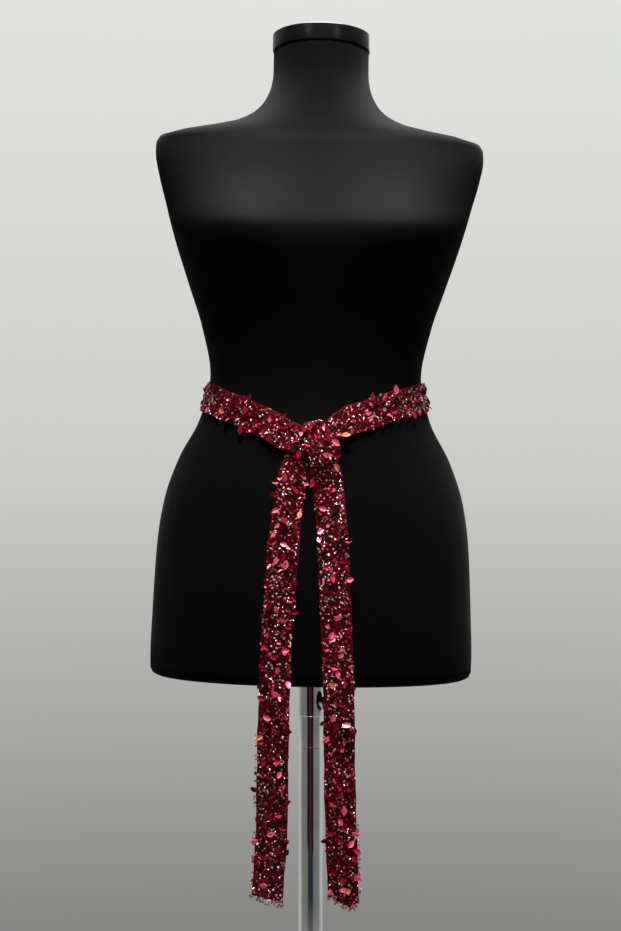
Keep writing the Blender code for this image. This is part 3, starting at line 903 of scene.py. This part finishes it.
# Under tail. The left end comes out from behind the band's lower edge and hangs as the left tail,
# beside the front one and a little shorter, cut on a slant.
UNDER_TAIL = [
    Stretch(0.2680, -0.0290, -0.0095),
    Stretch(0.2520, -0.0344, -0.0078),
    Stretch(0.2355, -0.0392, -0.0062),
    Stretch(0.2024, -0.0442, -0.0116),
    Stretch(0.1694, -0.0486, -0.0138),
    Stretch(0.1360, -0.0514, -0.0164),
    Stretch(0.0865, -0.0538, -0.0182),
    Stretch(0.0530, -0.0562, -0.0210),
    Stretch(-0.0130, -0.0571, -0.0225),
    Stretch(-0.0780, -0.0580, -0.0229),
    Stretch(-0.1440, -0.0578, -0.0226),
    Stretch(-0.2330, -0.0612, -0.0264),
]
UNDER_END = (0.0040, 0.0028, 0.0012, 0.0, -0.0014, -0.0030, -0.0042)
UNDER_BEADED_BELOW = 0.259
UNDER_CREASES = [
    Crease(0.200, 0.275, 0.15, 0.0008, 0.15),
    Crease(0.090, 0.190, -0.40, 0.0007, 0.20),
    Crease(-0.080, 0.060, 0.35, 0.0008, 0.22),
    Crease(-0.210, -0.110, -0.20, 0.0008, 0.25),
]


def under_grid():
    grid = hanging_rows(UNDER_TAIL, UNDER_END, UNDER_CREASES, 4.0)
    sewn = [TAIL_EDGES * (row[0][2] <= UNDER_BEADED_BELOW) for row in grid]
    return grid, sewn


under_tail = strip_of("under_tail_cloth", *under_grid(), cloth_red)

# Beads and sequins. Seed beads of garnet glass sewn close together, with leaf and round sequins of
# tinted plastic between them, each held by a bead, and a few bugle beads. None lies quite flat.
BEAD_RADIUS, BEAD_HOLE = 0.00135, 0.00052
BUGLE_LENGTH, BUGLE_RADIUS = 0.0050, 0.00055
LEAF_LENGTH, LEAF_WIDTH = 0.0098, 0.0060
LEAF_HOLE_AT = -0.28 * LEAF_LENGTH
LEAF_POINT, LEAF_NOSE, LEAF_FOLD, LEAF_DISH, DISC_DISH = 1.05, 0.14, 0.35, 12.0, 90.0
BEAD_PLUMPNESS = 1.15
DISC_RADIUS = 0.0024
SEQUIN_THICKNESS, SEQUIN_HOLE = 0.00022, 0.0005


def ring_shape(name, radius, hole, around=9, section=4):
    """A seed bead: a small ring, round its own Z axis."""
    tube = (radius - hole) / 2
    middle = (radius + hole) / 2
    points, faces = [], []
    for i in range(around):
        turn = 2 * math.pi * i / around
        for k in range(section):
            angle = 2 * math.pi * (k + 0.5) / section
            reach = middle + tube * math.cos(angle)
            rise = BEAD_PLUMPNESS * tube * math.sin(angle)
            points.append((reach * math.cos(turn), reach * math.sin(turn), rise))
    for i in range(around):
        for k in range(section):
            low, high = i * section, (i + 1) % around * section
            faces.append([low + k, high + k, high + (k + 1) % section, low + (k + 1) % section])
    return add_piece(name, points, faces, None)


def sequin_shape(name, outline, hole_at, hole, fold, dish):
    """A flat sequin with a sewing hole, folded along X by fold and dished by dish, closed all round."""
    count = len(outline)
    inner = [(hole_at + x, y) for x, y in circle(hole, count)]
    points = []
    for side in (1, -1):
        for x, y in [*outline, *inner]:
            lift = fold * abs(y) + dish * (x * x + y * y)
            points.append((x, y, lift + side * SEQUIN_THICKNESS / 2))
    faces = []
    for k in range(count):
        after = (k + 1) % count
        out, hub, under, under_hub = 0, count, 2 * count, 3 * count
        faces.append([out + k, out + after, hub + after, hub + k])
        faces.append([under + k, under_hub + k, under_hub + after, under + after])
        faces.append([out + k, under + k, under + after, out + after])
        faces.append([hub + k, hub + after, under_hub + after, under_hub + k])
    return add_piece(name, points, faces, None, smooth=False)


def leaf_outline():
    """A pointed oval along X, widest a little before its middle."""
    points = []
    for x, y in circle(1, 12):
        half = math.copysign(abs(1 - x * x) ** LEAF_POINT, y) * (1 - LEAF_NOSE * x)
        points.append((x * LEAF_LENGTH / 2, half * LEAF_WIDTH / 2))
    return points


def bugle_shape(name):
    points, faces = [], []
    for end in (-1, 1):
        points += [(end * BUGLE_LENGTH / 2, y, z) for y, z in circle(BUGLE_RADIUS, 6)]
    for k in range(6):
        faces.append([k, 6 + k, 6 + (k + 1) % 6, (k + 1) % 6])
    faces += [[0, 1, 2, 3, 4, 5], [11, 10, 9, 8, 7, 6]]
    return add_piece(name, points, faces, None)


def sewing_tree():
    """Sews copies of a shape over the beaded face: even spacing, random turn, tilt, size and tint."""
    tree = bpy.data.node_groups.new("sewn_on", "GeometryNodeTree")
    sizes = ("Spacing", "Crowding", "Smallest", "Largest", "Tilt", "Lift", "Loft")
    wanted = {"Face": "Geometry", "Shape": "Object", **dict.fromkeys(sizes, "Float")}
    for name, kind in {**wanted, "Seed": "Int", "Finish": "Material"}.items():
        tree.interface.new_socket(name, in_out="INPUT", socket_type="NodeSocket" + kind)
    tree.interface.new_socket("Sewn", in_out="OUTPUT", socket_type="NodeSocketGeometry")
    given = add_node(tree, "NodeGroupInput").outputs

    def chance(kind, low, high, salt):
        least, most, out = {"FLOAT_VECTOR": (0, 1, 0), "FLOAT": (2, 3, 1)}[kind]
        sockets = {least: low, most: high, "Seed": Amount(given["Seed"]) + salt}
        made = add_node(tree, "FunctionNodeRandomValue", {"data_type": kind}, sockets)
        return made.outputs[out]

    sewn = add_node(tree, "GeometryNodeInputNamedAttribute", {"data_type": "FLOAT"}, {"Name": "sewn"})
    spots = add_node(
        tree,
        "GeometryNodeDistributePointsOnFaces",
        {"distribute_method": "POISSON"},
        {
            "Mesh": given["Face"],
            "Distance Min": given["Spacing"],
            "Density Max": given["Crowding"],
            "Density Factor": sewn.outputs["Attribute"],
            "Seed": given["Seed"],
        },
    )
    height = Amount(chance("FLOAT", 0.0, given["Loft"], 11)) + given["Lift"]
    offset = add_node(
        tree,
        "ShaderNodeVectorMath",
        {"operation": "SCALE"},
        {"Vector": spots.outputs["Normal"], "Scale": height},
    )
    lifted = add_node(
        tree, "GeometryNodeSetPosition", None, {0: spots.outputs["Points"], "Offset": offset.outputs[0]}
    )
    tinted = add_node(
        tree,
        "GeometryNodeStoreNamedAttribute",
        {"data_type": "FLOAT", "domain": "POINT"},
        {"Geometry": lifted.outputs[0], "Name": "tint", "Value": chance("FLOAT", 0.0, 1.0, 23)},
    )
    spin = chance("FLOAT_VECTOR", (0.0, 0.0, 0.0), (0.0, 0.0, 2 * math.pi), 37)
    lean = chance("FLOAT_VECTOR", (-1.0, -1.0, 0.0), (1.0, 1.0, 0.0), 41)
    leaned = add_node(
        tree, "ShaderNodeVectorMath", {"operation": "SCALE"}, {"Vector": lean, "Scale": given["Tilt"]}
    )
    rotation = spots.outputs["Rotation"]
    for turn in (spin, leaned.outputs[0]):
        rotation = add_node(
            tree,
            "FunctionNodeRotateRotation",
            {"rotation_space": "LOCAL"},
            {"Rotation": rotation, "Rotate By": turn},
        ).outputs[0]
    shape = add_node(tree, "GeometryNodeObjectInfo", None, {"Object": given["Shape"]})
    copies = add_node(
        tree,
        "GeometryNodeInstanceOnPoints",
        None,
        {
            "Points": tinted.outputs[0],
            "Instance": shape.outputs["Geometry"],
            "Rotation": rotation,
            "Scale": chance("FLOAT", given["Smallest"], given["Largest"], 53),
        },
    )
    whole = add_node(tree, "GeometryNodeRealizeInstances", None, {0: copies.outputs[0]})
    finished = add_node(
        tree, "GeometryNodeSetMaterial", None, {"Geometry": whole.outputs[0], "Material": given["Finish"]}
    )
    add_node(tree, "NodeGroupOutput", None, {"Sewn": finished.outputs[0]})
    return tree


sewing = sewing_tree()
Sewing = namedtuple("Sewing", "shape spacing crowding smallest largest tilt lift loft finish")


def sew(name, face, plans, seed, strung=()):
    """One joined mesh of everything that the plans sew onto a face, and of what is strung beside it."""
    parts = []
    for number, plan in enumerate(plans):
        worker = put(f"{name}_{number}", face.data.copy())
        step = worker.modifiers.new("sewn_on", "NODES")
        step.node_group = sewing
        inputs = {s.name: s.identifier for s in sewing.interface.items_tree if s.in_out == "INPUT"}
        values = {key.capitalize(): value for key, value in plan._asdict().items()}
        values.update(Tilt=math.radians(plan.tilt), Seed=seed + 7 * number)
        for key, value in values.items():
            step[inputs[key]] = value
        graph = bpy.context.evaluated_depsgraph_get()
        graph.update()
        mesh = bpy.data.meshes.new_from_object(worker.evaluated_get(graph))
        parts.append(mesh)
        bpy.data.objects.remove(worker, do_unlink=True)
    parts += strung
    made = put(name, parts[0])
    parts[0].name = name
    if len(parts) > 1:
        both = [made, *(put(name + "_more", mesh) for mesh in parts[1:])]
        with bpy.context.temp_override(
            active_object=made, selected_editable_objects=both, selected_objects=both
        ):
            bpy.ops.object.join()
    return made


def bead_finish():
    """Garnet glass, most of it silver-lined, so that its glints take the glass's colour."""
    made = Finish(
        "sash_beads",
        (0.12, 0.004, 0.010),
        Metallic=0.85,
        Roughness=0.20,
        Specular_IOR_Level=0.3,
        Coat_Weight=0.30,
        Coat_IOR=1.6,
        Coat_Roughness=0.10,
    )
    stops = [
        (0.00, (0.030, 0.0004, 0.0016)),
        (0.20, (0.170, 0.0020, 0.0080)),
        (0.38, (0.400, 0.0120, 0.0300)),
        (0.52, (0.760, 0.1600, 0.2000)),
        (0.68, (0.900, 0.4000, 0.4200)),
        (0.84, (0.99, 0.720, 0.710)),
    ]
    cloudy = made.noise(made.place(), 300.0, 2.0)
    dulled = made.spread(cloudy, 0.4, 0.9) * 0.35
    made.feed(
        Base_Color=made.mix(dulled, made.by_tint(stops), (0.03, 0.0006, 0.002)),
        Roughness=made.spread(cloudy, 0.3, 0.7, 0.20, 0.34),
    )
    made.bump(made.noise(made.place(), 1100.0, 1.0), 0.00004, 0.3)
    return made.material


def sequin_finish():
    """Tinted plastic film, mostly deep red, with a few pieces coloured pink or salmon as a painted flash
    of caught light.
    """
    made = Finish(
        "sash_sequins",
        (0.20, 0.003, 0.012),
        Roughness=0.30,
        Metallic=0.50,
        Coat_Weight=0.04,
        Specular_IOR_Level=0.2,
    )
    stops = [
        (0.00, (0.070, 0.0008, 0.004)),
        (0.30, (0.140, 0.0018, 0.009)),
        (0.62, (0.230, 0.0040, 0.018)),
        (0.84, (0.400, 0.0120, 0.040)),
        # The pink and salmon stops are painted flashes: light caught by a sequin, painted into its
        # colour.
        (0.93, (1.000, 0.1400, 0.2500)),
        (0.985, (0.96, 0.210, 0.140)),
    ]
    cloudy = made.noise(made.place(), 240.0, 2.0)
    dulled = made.spread(cloudy, 0.45, 0.85) * 0.3
    made.feed(
        Base_Color=made.mix(dulled, made.by_tint(stops), (0.05, 0.002, 0.006)),
        Roughness=made.spread(cloudy, 0.3, 0.7, 0.18, 0.34),
    )
    made.bump(made.noise(made.place(), 700.0, 1.0), 0.00005, 0.35)
    return made.material


bead_glass = bead_finish()
sequin_film = sequin_finish()
seed_bead = ring_shape("seed_bead", BEAD_RADIUS, BEAD_HOLE)
bugle = bugle_shape("bugle_bead")
leaf = sequin_shape("leaf_sequin", leaf_outline(), LEAF_HOLE_AT, SEQUIN_HOLE, LEAF_FOLD, LEAF_DISH)
disc = sequin_shape("disc_sequin", circle(DISC_RADIUS, 10), 0.0, SEQUIN_HOLE, 0.0, DISC_DISH)

BEAD_PLANS = [
    Sewing(seed_bead, 0.00268, 190000.0, 0.78, 1.10, 32.0, 0.0009, 0.0006, bead_glass),
    Sewing(bugle, 0.0150, 6000.0, 0.8, 1.2, 14.0, 0.0016, 0.0004, bead_glass),
]
SEQUIN_PLANS = [
    Sewing(leaf, 0.0080, 20000.0, 0.72, 1.12, 40.0, 0.0015, 0.0010, sequin_film),
    Sewing(disc, 0.0110, 12000.0, 0.75, 1.1, 26.0, 0.0011, 0.0006, sequin_film),
]

# Loose edges. Beyond the cloth a clear nylon thread runs down the outer edge of each tail's lower
# half with beads strung on it, and short threads with the last beads hang from the cut ends.
THREAD_RADIUS = 0.00009
EDGE_REACH, EDGE_WANDER = 0.0016, 0.0004
EDGE_GAP_SHARE = 0.35
EDGE_CLEAR_OF_TOP = 0.05
BEAD_STEPS, BEAD_AHEAD = [1, 2, 2, 3], 0.0002
THREAD_SAG, THREAD_BOW, ROOT_RISE = 0.0001, 0.0003, 0.0004
LONG_DROP, SHORT_DROP, DROP_SWAY = (0.0008, 0.0058), (0.0004, 0.0022), 0.0012
BEAD_NOD, BEAD_SWING, STRUNG_SIZES, STRUNG_TINTS = 0.5, 0.6, (0.95, 1.3), (0.0, 0.80)


def thread_mesh(paths):
    """Thin tubes along lists of points, closed at their ends, as one mesh."""
    points, faces = [], []
    for path in paths:
        path = np.array(path)
        run = np.gradient(path, axis=0)
        run /= np.linalg.norm(run, axis=1)[:, None]
        side = np.cross(run, (0.31, 0.17, 0.93))
        side /= np.linalg.norm(side, axis=1)[:, None]
        other = np.cross(run, side)
        start = len(points)
        for place, a, b in zip(path, side, other):
            points += [place + THREAD_RADIUS * v for v in (a, b, -a, -b)]
        for i in range(len(path) - 1):
            low, high = start + 4 * i, start + 4 * (i + 1)
            faces += [[low + k, low + (k + 1) % 4, high + (k + 1) % 4, high + k] for k in range(4)]
        last = start + 4 * (len(path) - 1)
        faces += [[start + 3, start + 2, start + 1, start], [last, last + 1, last + 2, last + 3]]
    return points, faces


def corners(shape):
    return np.array([v.co for v in shape.data.vertices])


def copies_mesh(name, shape, copies, finish, smooth):
    """One mesh of a shape's copies, from the points and the tint of each."""
    count = len(shape.data.vertices)
    loops = [list(p.vertices) for p in shape.data.polygons]
    points = [tuple(point) for spots, _ in copies for point in spots]
    faces = [[i * count + k for k in loop] for i in range(len(copies)) for loop in loops]
    tints = [tint for _, tint in copies for _ in range(count)]
    mesh = bpy.data.meshes.new(name)
    mesh.from_pydata(points, [], faces)
    mesh.polygons.foreach_set("use_smooth", [smooth] * len(faces))
    mesh.attributes.new("tint", "FLOAT", "POINT").data.foreach_set("value", tints)
    mesh.materials.append(finish)
    return mesh


def strung_beads(name, places, chance):
    """Seed beads at the given places, with their holes roughly towards the front."""
    copies = []
    for place in places:
        turn = Matrix.Rotation(math.pi / 2 + chance.uniform(-BEAD_NOD, BEAD_NOD), 3, "X")
        turn = Matrix.Rotation(chance.uniform(-BEAD_SWING, BEAD_SWING), 3, "Z") @ turn
        size = chance.uniform(*STRUNG_SIZES)
        spots = corners(seed_bead) @ np.array(turn).T * size + np.array(place)
        copies.append((spots, chance.uniform(*STRUNG_TINTS)))
    return copies_mesh(name, seed_bead, copies, bead_glass, True)


def loose_edge(strip, side, top, seed):
    """Threads and bead places beside one edge below a height, and hanging from the cut end."""
    chance = np.random.default_rng(seed)
    edge = strip.outer[:, 0 if side < 0 else -1]
    inner = strip.outer[:, 2 if side < 0 else -3]
    top = min(top, edge[0][2] - EDGE_CLEAR_OF_TOP)
    low = [i for i in range(len(edge)) if edge[i][2] < top]
    out = [edge[i] + (edge[i] - inner[i]) / np.linalg.norm(edge[i] - inner[i]) * EDGE_REACH for i in low]
    out = [p + chance.uniform(-EDGE_WANDER, EDGE_WANDER, 3) for p in out]
    paths, places = [out], []
    step = 0
    while step < len(low):
        place = out[step] - np.array([0, BEAD_AHEAD, 0])
        paths.append([edge[low[step]], (edge[low[step]] + place) / 2 - (0, THREAD_SAG, 0), place])
        if chance.uniform() > EDGE_GAP_SHARE:
            places.append(place)
        step += int(chance.choice(BEAD_STEPS))
    for k, root in enumerate(strip.outer[-1]):
        drop = chance.uniform(*(LONG_DROP if k % 2 else SHORT_DROP))
        sway = (chance.uniform(-DROP_SWAY, DROP_SWAY), chance.uniform(-DROP_SWAY, 0))
        tip = root + np.array([*sway, -drop])
        paths.append([root + (0, 0, ROOT_RISE), (root + tip) / 2 + (THREAD_BOW, 0, 0), tip])
        places.append(tip)
    return paths, places


def thread_finish():
    """Clear nylon with a wine tinge from the dye that it took up."""
    made = Finish("sash_thread", (0.55, 0.30, 0.33), Roughness=0.22, Transmission_Weight=0.4)
    cloudy = made.noise(made.place(), 220.0, 2.0)
    made.feed(Base_Color=made.mix(cloudy, (0.42, 0.16, 0.20), (0.66, 0.48, 0.50)))
    made.bump(made.noise(made.place(), 1800.0, 1.0), 0.00002, 0.3)
    return made.material


nylon = thread_finish()
LOOSE_EDGES = {"front_tail": (front_tail, 1, 0.600, 21), "under_tail": (under_tail, -1, 0.700, 33)}
threads, loose_beads = {}, {}
for name, plan in LOOSE_EDGES.items():
    paths, places = loose_edge(*plan)
    threads[name] = add_piece(name + "_threads", *thread_mesh(paths), nylon)
    loose_beads[name] = [strung_beads(name + "_loose", places, np.random.default_rng(plan[3] + 1))]

# Showy leaves. Leaf sequins of the same film, each put where it lies on the real sash: bright pink
# and salmon ones, whose colour is a painted flash of caught light, and others that stick out past
# an edge. A stitch through the hole holds each.
Leaf = namedtuple("Leaf", "along across turn tint size", defaults=(1.0,))
# The pink and salmon tints pick sequins whose flash of light is painted into their colour.
RED, WINE, PINK_PAINTED_FLASH, SALMON_PAINTED_FLASH, DARK = 0.70, 0.88, 0.95, 0.99, 0.10
LEAF_LIFT = 0.0030
LEAF_LEAN, LEAN_RATE = 14, 2.4
SHOWY_LEAVES = {
    "waist_band": [
        (0.801, -0.80, -133, PINK_PAINTED_FLASH, 1.1), (0.831, -0.43, -12, SALMON_PAINTED_FLASH), (0.875, -1.12, -73, RED, 1.1),
        (0.865, 1.12, 84, RED), (0.921, 1.03, 69, RED), (0.907, 0.34, 107, PINK_PAINTED_FLASH, 0.7),
        (0.968, -1.08, -87, RED, 1.1), (0.142, 1.03, 81, PINK_PAINTED_FLASH, 1.15), (0.101, 1.08, 65, WINE),
        (0.089, -0.25, 42, PINK_PAINTED_FLASH, 0.8), (0.038, -0.96, -2, SALMON_PAINTED_FLASH), (0.160, -0.98, -91, WINE),
        (0.195, 1.12, 81, DARK),
    ],
    "front_tail": [
        (0.129, 0.80, 48, PINK_PAINTED_FLASH, 1.15), (0.150, 0.21, 62, PINK_PAINTED_FLASH, 0.9), (0.172, 0.66, 12, SALMON_PAINTED_FLASH, 1.1),
        (0.208, -0.94, -35, WINE, 0.9), (0.252, -0.43, 69, PINK_PAINTED_FLASH), (0.387, 0.95, 98, PINK_PAINTED_FLASH),
        (0.461, 0.11, 117, PINK_PAINTED_FLASH), (0.494, -0.34, 147, PINK_PAINTED_FLASH), (0.531, 0.21, 128, SALMON_PAINTED_FLASH, 0.8),
        (0.652, -0.39, 159, PINK_PAINTED_FLASH), (0.694, -0.88, -53, PINK_PAINTED_FLASH), (0.698, 0.30, -170, PINK_PAINTED_FLASH, 0.7),
        (0.825, 0.21, 179, PINK_PAINTED_FLASH, 1.1), (0.849, -0.02, 29, PINK_PAINTED_FLASH, 0.9), (0.873, 0.92, 65, PINK_PAINTED_FLASH),
        (0.892, 0.57, 140, PINK_PAINTED_FLASH), (0.958, 0.98, 55, PINK_PAINTED_FLASH), (0.977, -0.02, 89, PINK_PAINTED_FLASH, 0.9),
        (0.974, 0.34, 129, SALMON_PAINTED_FLASH, 0.8), (0.661, -1.05, -68, DARK, 0.9), (0.885, -1.10, -69, DARK, 0.9),
    ],
    "under_tail": [
        (0.149, -0.80, -51, PINK_PAINTED_FLASH), (0.200, -0.71, -21, SALMON_PAINTED_FLASH, 0.8), (0.220, 0.02, 76, PINK_PAINTED_FLASH, 0.9),
        (0.255, -0.39, 174, PINK_PAINTED_FLASH, 0.9), (0.265, 0.25, 175, PINK_PAINTED_FLASH, 1.15), (0.452, 0.62, 99, PINK_PAINTED_FLASH, 0.9),
        (0.550, 0.16, 62, PINK_PAINTED_FLASH), (0.604, -0.39, 72, PINK_PAINTED_FLASH), (0.648, -0.85, -61, SALMON_PAINTED_FLASH, 0.9),
        (0.859, -0.02, 113, PINK_PAINTED_FLASH), (0.876, -1.00, -67, PINK_PAINTED_FLASH), (0.970, -0.25, 94, PINK_PAINTED_FLASH),
        (0.759, -1.10, -107, DARK), (0.895, 1.04, 155, DARK, 0.9), (0.087, -1.05, -78, DARK),
        (0.114, -1.05, -83, RED),
    ],
}


def showy_leaves(name, strip, leaves):
    """Leaf sequins at shares of a strip's length and half width, turned from the strip's run."""
    grid = strip.outer
    rows, columns = grid.shape[:2]
    copies = []
    for number, sequin in enumerate(Leaf(*row) for row in leaves):
        row = min(int(sequin.along * (rows - 1)), rows - 2)
        inside = min(max(sequin.across, -1.0), 1.0)
        column = (inside + 1) / 2 * (columns - 1)
        near = min(int(column), columns - 2)
        place = grid[row, near] + (grid[row, near + 1] - grid[row, near]) * (column - near)
        run = grid[row + 1, near] - grid[row, near]
        run /= np.linalg.norm(run)
        face = np.cross(run, grid[row, near + 1] - grid[row, near])
        face /= np.linalg.norm(face)
        aside = np.cross(face, run)
        turn = math.radians(sequin.turn)
        length = run * math.cos(turn) + aside * math.sin(turn)
        lean = math.radians(LEAF_LEAN * math.sin(LEAN_RATE * number))
        width = np.cross(face, length) * math.cos(lean) + face * math.sin(lean)
        axes = np.array([length, width, np.cross(length, width)])
        place = place + aside * (sequin.across - inside) * strip.width / 2 + face * LEAF_LIFT
        copies.append((place + sequin.size * corners(leaf) @ axes, sequin.tint))
    return [copies_mesh(name, leaf, copies, sequin_film, False)]


# The sash is sewn up: beads and sequins are sewn onto each stretch, and the tails keep their loose
# edges. The whole sash is tied onto the form and rides on it.
stretches = ((band, "waist_band", 3), (front_tail, "front_tail", 5), (under_tail, "under_tail", 9))
for strip, name, seed in stretches:
    beads = sew(name + "_beads", strip.face, BEAD_PLANS, seed, loose_beads.get(name, ()))
    showy = showy_leaves(name + "_showy", strip, SHOWY_LEAVES[name])
    sequins = sew(name + "_sequins", strip.face, SEQUIN_PLANS, seed + 100, showy)
    trim = [beads, sequins] + ([threads[name]] if name in threads else [])
    for piece in (strip.cloth, *trim):
        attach(piece, "form")
    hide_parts("sash_" + name)
    bpy.data.objects.remove(strip.face, do_unlink=True)
for shape in (seed_bead, bugle, leaf, disc):
    bpy.data.objects.remove(shape, do_unlink=True)

# Studio. A plain pale floor that fades into the surroundings, a large soft light overhead, small
# ones in front for the beads' glints, and the camera at the waist's height.
FLOOR_RADIUS, FLOOR_DROP = 1.5, -0.0004
FADE_START, FADE_END = 0.45, 0.92
CAMERA_DISTANCE = 1.70
CAMERA_HEIGHT = 0.996
PHOTO_HEIGHT_PX = 931
FOCAL_LENGTH_PX = 1440
SENSOR = 36.0


def floor_finish():
    """Pale matte floor with faint clouding, clear towards its rim."""
    made = Finish("floor_pale", (0.12, 0.12, 0.116), Roughness=0.6)
    place = made.place()
    cloudy = made.noise(place, 2.5)
    made.feed(Base_Color=made.mix(cloudy, (0.115, 0.115, 0.111), (0.128, 0.128, 0.124)))
    made.bump(made.noise(place, 500.0), 0.0002, 0.2)
    reach = made.node("ShaderNodeVectorMath", {"operation": "LENGTH"}, {0: place}).outputs["Value"]
    clear = made.node("ShaderNodeBsdfTransparent")
    fade = made.spread(Amount(reach), FADE_START * FLOOR_RADIUS, FADE_END * FLOOR_RADIUS)
    sides = {0: fade, 1: made.shader.outputs[0], 2: clear.outputs[0]}
    fading = made.node("ShaderNodeMixShader", None, sides)
    made.tree.links.new(fading.outputs[0], made.tree.nodes["Material Output"].inputs["Surface"])
    return made.material


floor_points = [(x, y, FLOOR_DROP) for x, y in circle(FLOOR_RADIUS, 96)]
floor = add_piece("studio_floor", floor_points, [list(range(96))], floor_finish())

world = bpy.data.worlds.new("studio")
bpy.context.scene.world = world
world.use_nodes = True
sky = Nodes(world.node_tree)
sky.tree.nodes.clear()
direction = sky.node("ShaderNodeTexCoord").outputs["Generated"]
axes = sky.node("ShaderNodeSeparateXYZ", None, {0: direction})
# The backdrop that the camera sees is painted: pale above, with painted shade darkening it low down.
sky_stops = [
    (0.00, (0.30, 0.30, 0.29)),
    (0.35, (0.24, 0.24, 0.235)),
    (0.50, (0.60, 0.605, 0.58)),
    (0.66, (0.77, 0.78, 0.74)),
    (1.00, (0.80, 0.80, 0.78)),
]
upward = sky.spread(axes.outputs[2], -1.0, 1.0)
seen = sky.node("ShaderNodeValToRGB", {"stops": sky_stops}, {"Fac": upward}).outputs[0]
aside = Amount(axes.outputs[0]).size()

# What the gloss reflects: dark ahead of the form and above, paler low down at both sides and behind
beside = sky.spread(aside, 0.30, 0.55) * (1 - sky.spread(axes.outputs[2], -0.04, 0.12))
ahead = sky.mix(beside, (0.024, 0.027, 0.036), (0.20, 0.21, 0.19))
around = sky.mix(sky.spread(axes.outputs[1], -0.15, 0.45), ahead, (0.55, 0.55, 0.53))
by_ray = sky.node("ShaderNodeLightPath").outputs["Is Camera Ray"]
tone = sky.mix(by_ray, around, seen)
surround = sky.node("ShaderNodeBackground", None, {"Color": tone, "Strength": 1.0})
sky.node("ShaderNodeOutputWorld", None, {"Surface": surround.outputs[0]})

Light = namedtuple("Light", "name place target size power colour")
LIGHTS = [
    Light("overhead_softbox", (0.12, 0.0, 2.75), (0.0, 0.0, 1.2), 0.8, 330.0, (1.0, 0.98, 0.93)),
    Light("front_softbox", (0.0, -0.70, 2.75), (0.0, -0.05, 1.0), 0.35, 74.0, (1.0, 0.99, 0.96)),
    Light("left_glint", (-1.1, -1.9, 2.3), (0.0, 0.0, 1.0), 0.24, 4.4, (1.0, 0.98, 0.95)),
    Light("right_glint", (1.2, -1.7, 2.1), (0.0, 0.0, 0.95), 0.22, 3.0, (1.0, 0.97, 0.94)),
    Light("low_glint", (0.25, -2.3, 1.5), (0.0, 0.0, 0.9), 0.16, 1.5, (1.0, 1.0, 1.0)),
    Light("back_softbox", (0.3, 1.7, 2.5), (0.0, 0.0, 1.1), 1.5, 16.0, (1.0, 1.0, 1.0)),
]
for light in LIGHTS:
    lamp = bpy.data.lights.new(light.name, "AREA")
    lamp.size = light.size
    lamp.energy = light.power
    lamp.color = light.colour
    holder = put(light.name, lamp)
    holder.location = light.place
    facing = Vector(light.target) - Vector(light.place)
    holder.rotation_euler = facing.to_track_quat("-Z", "Y").to_euler()

lens = bpy.data.cameras.new("camera")
lens.sensor_fit = "VERTICAL"
lens.sensor_height = SENSOR
lens.lens = FOCAL_LENGTH_PX / PHOTO_HEIGHT_PX * SENSOR
camera = put("camera", lens)
camera.location = (0.0, -CAMERA_DISTANCE, CAMERA_HEIGHT)
camera.rotation_euler = (math.pi / 2, 0, 0)
bpy.context.scene.camera = camera
bpy.context.scene.view_settings.view_transform = "Standard"
